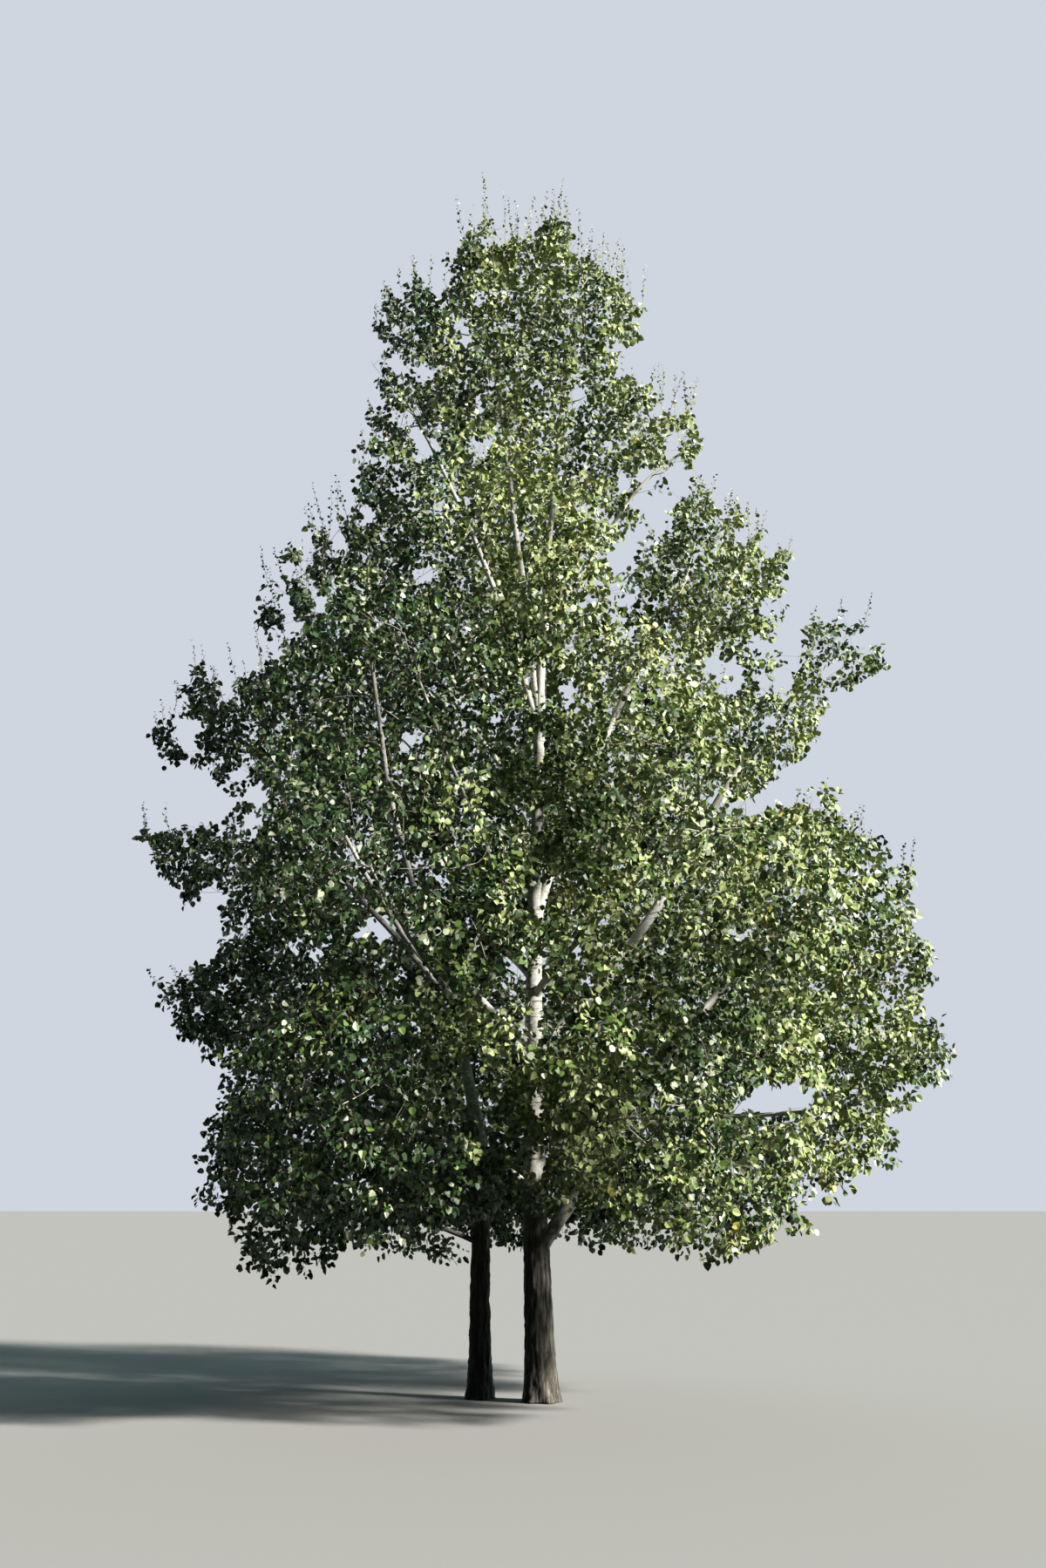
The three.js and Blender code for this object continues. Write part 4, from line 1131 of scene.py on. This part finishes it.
# few leaves sit right beside the limbs
lines = [(c.at(k / 60), 0.05 + 1.2 * bough_radius(row[4], row[5], k / 60)) for row in BOUGHS for c in (curves[row[0]],) for k in range(43)]
limbs = kdtree.KDTree(len(lines))
for i, (p, r) in enumerate(lines):
    limbs.insert(p, i)
limbs.balance()
close = np.array([d < lines[i][1] for _, i, d in (limbs.find(Vector(p)) for p in middle)])
keep &= ~(close & (rng.random(len(middle)) < 0.75))
keep &= (np.abs(middle - (LOW + HIGH) / 2) < (HIGH - LOW) / 2 + (0.16, 0.14, 0.2)).all(1)
leafy = np.bincount(shoot[keep], minlength=len(path3) + len(path4)) > 2
keep &= leafy[shoot]
stalk_foot, foot, blade, face, size, shoot, mass, middle = (v[keep] for v in (stalk_foot, foot, blade, face, size, shoot, mass, middle))


def tree_of(points):
    tree = kdtree.KDTree(len(points))
    for i, p in enumerate(points):
        tree.insert(Vector(p), i)
    tree.balance()
    return tree


def in_use(paths, own, others):
    """Which of the paths bear leaves themselves or carry, at any remove, one that does."""
    live = own.copy()
    while True:
        starts = tree_of(np.concatenate([paths[live][:, 0]] + others))
        new = own | np.array([any(starts.find(Vector(p))[2] < 1e-4 for p in line[1:]) for line in paths])
        if (new == live).all():
            return live
        live = new


# Shoots, twigs and branches that would stand bare in the open are left out.
live4 = leafy[len(path3) :]
live3 = in_use(path3, leafy[: len(path3)], [path4[live4][:, 0]])
leaf_tree = tree_of(middle)
by_leaf = [np.array([leaf_tree.find(Vector(p))[2] < 0.16 for p in paths[:, -1]]) for paths in (path1, path2)]
live2 = in_use(path2, by_leaf[1], [path3[live3][:, 0]])
live1 = in_use(path1, by_leaf[0], [path3[live3][:, 0], path2[live2][:, 0]])
print("bare branches left out", (~live1).sum(), "twigs", (~live2).sum())
t1, t2 = tubes(path1[live1], rad1[live1], 6), tubes(path2[live2], rad2[live2], 3)
inner = (np.array(inner_pts), np.array(inner_faces))
twig_piece(
    "branches",
    [inner, t1, t2],
    [BRANCH, TWIG],
    np.concatenate([np.zeros(len(inner[1])), np.zeros(len(t1[1])), np.ones(len(t2[1]))]),
)
t3, t4 = tubes(path3[live3], rad3[live3], 3), tubes(path4[live4], rad4[live4], 3)
twig_piece("shoots", [t3, t4], [TWIG], np.zeros(len(t3[1]) + len(t4[1])))
print("bare shoots left out", (~live3).sum(), (~live4).sum())

# Tints go by spray, with an odd leaf turned to show its pale underside.
tips = np.concatenate([path3[:, -1], path4[:, -1]])
n_shoots = len(tips)
patch = np.array([noise.noise(Vector((x, y, z * 0.7)) * 1.1) + 0.8 * noise.noise(Vector((x, y, z * 0.6)) * 2.9 + Vector((9, 2, 5))) for x, y, z in tips])
# painted shade and light by place, mostly on the front: sprays on the left of the crown are dealt darker tints and
# those on the right lighter ones, and near the top the same from left to right
side = np.interp(tips[:, 0], (-2.6, -1.2, -0.7, -0.2, 0.3, 1.0, 3.0), (-1.4, -1.25, -0.75, 0.38, 0.74, 0.5, 0.34))
side = side + (0.66 * np.tanh((tips[:, 0] + 0.5) / 0.85) - side) * np.interp(tips[:, 2], (7.0, 8.2), (0.0, 1.0))
# higher sprays are dealt a little lighter tints and lower ones darker: painted light and shade
tone_and_painted_light = patch * 2.0 + rng.normal(0, 0.22, n_shoots) + side * np.interp(tips[:, 1], (0.0, 1.8), (1.0, 0.1)) + 0.12 * np.tanh((tips[:, 2] - 4.4) / 2.2)
# painted shade: darker tints low on the left and low in the middle of the front
tone_and_painted_light -= 0.05 * np.interp(tips[:, 0], (-1.2, -0.3), (1, 0)) * np.interp(tips[:, 2], (3.2, 5), (1, 0))
tone_and_painted_light -= 0.28 * np.interp(np.abs(tips[:, 0] - 0.5), (1.0, 1.6), (1, 0)) * np.interp(tips[:, 2], (3.2, 3.9), (1, 0))
# painted light: lighter tints for the front sprays ahead of the lower trunk, which lie in the crown's shade
tone_and_painted_light += 0.55 * np.interp(np.abs(tips[:, 0] + 0.15), (0.3, 0.8), (1, 0)) * np.interp(np.abs(tips[:, 2] - 2.7), (0.5, 0.9), (1, 0)) * (tips[:, 1] < -0.2)
spray = np.digitize(tone_and_painted_light, (-0.28, 0.30, 0.95))
spray = np.where(spray == 3, np.where(rng.random(n_shoots) < 0.08, 4, 2), spray)
silver = np.array([0.12 + 0.6 * noise.noise(Vector(p) * 2.3 + Vector((3, 8, 1))) for p in tips]).clip(0.02, 0.55)
tint = spray[shoot]
u = rng.random(len(tint))
tint = np.where(u < 0.12, np.maximum(0, tint - 1), np.where(u < 0.22, np.minimum(2, tint + 1), tint))
tint = np.where((rng.random(len(tint)) < silver[shoot]) & (size < LEAF * 1.25), 3, tint)

# Inner leaves have four faces, outer ones six and a stalk.
ROUND = np.array([(0, 0, 0), (0.07, 0.31, 0.08), (0.42, 0.50, 0.16), (0.80, 0.31, 0.04), (1.06, 0, -0.12), (0.80, -0.31, 0.04), (0.42, -0.50, 0.16), (0.07, -0.31, 0.08)])
ROUND_TRIS = np.array([(0, 1, 2), (0, 2, 3), (0, 3, 4), (0, 4, 5), (0, 5, 6), (0, 6, 7)])
SIMPLE = np.array([(0, 0, 0), (0.20, 0.45, 0.13), (0.74, 0.38, 0.06), (1.05, 0, -0.10), (0.74, -0.38, 0.06), (0.20, -0.45, 0.13)])
SIMPLE_TRIS = np.array([(0, 1, 2), (0, 2, 3), (0, 3, 4), (0, 4, 5)])
curl = rng.normal(0.9, 0.9, len(size))


def blades(sel, shape, tris):
    s = size[sel][:, None, None]
    across = np.cross(face[sel], blade[sel])
    pts = foot[sel][:, None] + s * (
        shape[None, :, 0:1] * blade[sel][:, None] + shape[None, :, 1:2] * across[:, None] + shape[None, :, 2:3] * (face[sel] * curl[sel][:, None])[:, None]
    )
    m = len(shape)
    t = tris[None] + (np.arange(len(sel)) * m)[:, None, None]
    return pts.reshape(-1, 3), t.reshape(-1, 3), np.repeat(tint[sel], len(tris))


def stalks(sel):
    a, b = stalk_foot[sel], foot[sel]
    across = unit(np.cross(b - a, np.array([[0.3, 0.2, 1.0]]))) * 0.0011
    pts = np.stack([a - across, a + across, b], axis=1).reshape(-1, 3)
    t = np.arange(len(sel) * 3).reshape(-1, 3)
    return pts, t, np.full(len(sel), 2)


outer = share_of_reach(middle) > 0.8

REGIONS = {
    "foliage_top": ("top_",),
    "foliage_right": ("right_",),
    "foliage_left": ("left_",),
    "foliage_front_left": ("front_high_left", "front_middle_left", "front_left", "front_centre"),
    "foliage_front_right": ("front_high_right", "front_middle_right", "front_right"),
    "foliage_back_high": ("back_high", "back_middle", "back_middle_left", "back_middle_right"),
    "foliage_back_low": ("back_left_low", "back_right_low", "back_skirt"),
}
counts = {}
claimed = set()
total = 0
for region, starts in REGIONS.items():
    inside = [k for k, n in enumerate(mass_names) if k not in claimed and n[7:].startswith(starts)]
    claimed |= set(inside)
    sel = np.where(np.isin(mass, inside))[0]
    parts = [blades(sel[outer[sel]], ROUND, ROUND_TRIS), blades(sel[~outer[sel]], SIMPLE, SIMPLE_TRIS), stalks(sel[outer[sel]])]
    pts = np.concatenate([p[0] for p in parts])
    shift = np.cumsum([0] + [len(p[0]) for p in parts[:-1]])
    tris = np.concatenate([p[1] + s for p, s in zip(parts, shift)])
    index = np.concatenate([p[2] for p in parts])
    counts[region] = len(tris)
    total += len(sel)
    o = mesh_of(region, pts, tris, 3, TINTS, index)
    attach(o, "root")
    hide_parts(*[mass_names[k] for k in inside])
print("leaves", total, "leaf triangles", counts, sum(counts.values()))
print("twig triangles", len(t1[1]), len(t2[1]), len(t3[1]), "shoots", len(path3), "spikes", len(path4))
print("outer share", outer.mean(), "branches", len(path1), len(path2), "missing masses", set(range(len(mass_names))) - claimed)

# ---- Stage: pale floor, soft light ------------------------------------------------------------------

floor = mesh_of("floor", [(-1200, -1200, 0), (1200, -1200, 0), (1200, 1200, 0), (-1200, 1200, 0)], [[0, 1, 2, 3]], 4, [plain("floor", (0.215, 0.215, 0.208), 1.0, 0.0)])
floor.location.z = -0.002
floor.visible_diffuse = False  # the pale floor throws no light up into the crown

world = bpy.data.worlds.new("world")
bpy.context.scene.world = world
world.use_nodes = True
# bluish light from above the tree's right and back, little from elsewhere, so that shadows stay deep
sky = world.node_tree
background = sky.nodes["Background"]
background.inputs["Color"].default_value = (0.62, 0.89, 0.96, 1)
towards = sky.nodes.new("ShaderNodeTexCoord")
parts = sky.nodes.new("ShaderNodeVectorMath")
parts.operation = "DOT_PRODUCT"
parts.inputs[1].default_value = Vector((0.25, 0.92, 0.3)).normalized()
glow = sky.nodes.new("ShaderNodeMapRange")
sky.links.new(towards.outputs["Generated"], parts.inputs[0])
sky.links.new(parts.outputs["Value"], glow.inputs["Value"])
for k, v in (("From Min", -1.0), ("From Max", 0.8), ("To Min", 0.0), ("To Max", 1.0)):
    glow.inputs[k].default_value = v
curve = sky.nodes.new("ShaderNodeMath")
curve.operation = "POWER"
sky.links.new(glow.outputs[0], curve.inputs[0])
curve.inputs[1].default_value = 5.0
level = sky.nodes.new("ShaderNodeMath")
level.operation = "MULTIPLY_ADD"
sky.links.new(curve.outputs[0], level.inputs[0])
level.inputs[1].default_value = 1.25
level.inputs[2].default_value = 0.024
sky.links.new(level.outputs[0], background.inputs["Strength"])
# the backdrop itself is plain and pale on every side
paper = sky.nodes.new("ShaderNodeBackground")
paper.inputs["Color"].default_value = (0.62, 0.67, 0.74, 1)
rays = sky.nodes.new("ShaderNodeLightPath")
shown = sky.nodes.new("ShaderNodeMixShader")
sky.links.new(rays.outputs["Is Camera Ray"], shown.inputs[0])
sky.links.new(background.outputs[0], shown.inputs[1])
sky.links.new(paper.outputs[0], shown.inputs[2])
sky.links.new(shown.outputs[0], sky.nodes["World Output"].inputs["Surface"])

sun = bpy.data.objects.new("sun", bpy.data.lights.new("sun", "SUN"))
sun.data.energy = 13.3
sun.data.angle = math.radians(6)
sun.data.color = (1.0, 0.965, 0.9)
sun.rotation_euler = SUN_FROM.to_track_quat("Z", "Y").to_euler()
bpy.context.scene.collection.objects.link(sun)

scene = bpy.context.scene
scene.view_settings.view_transform = "Standard"
scene.view_settings.look = "None"
scene.view_settings.exposure = 0.0
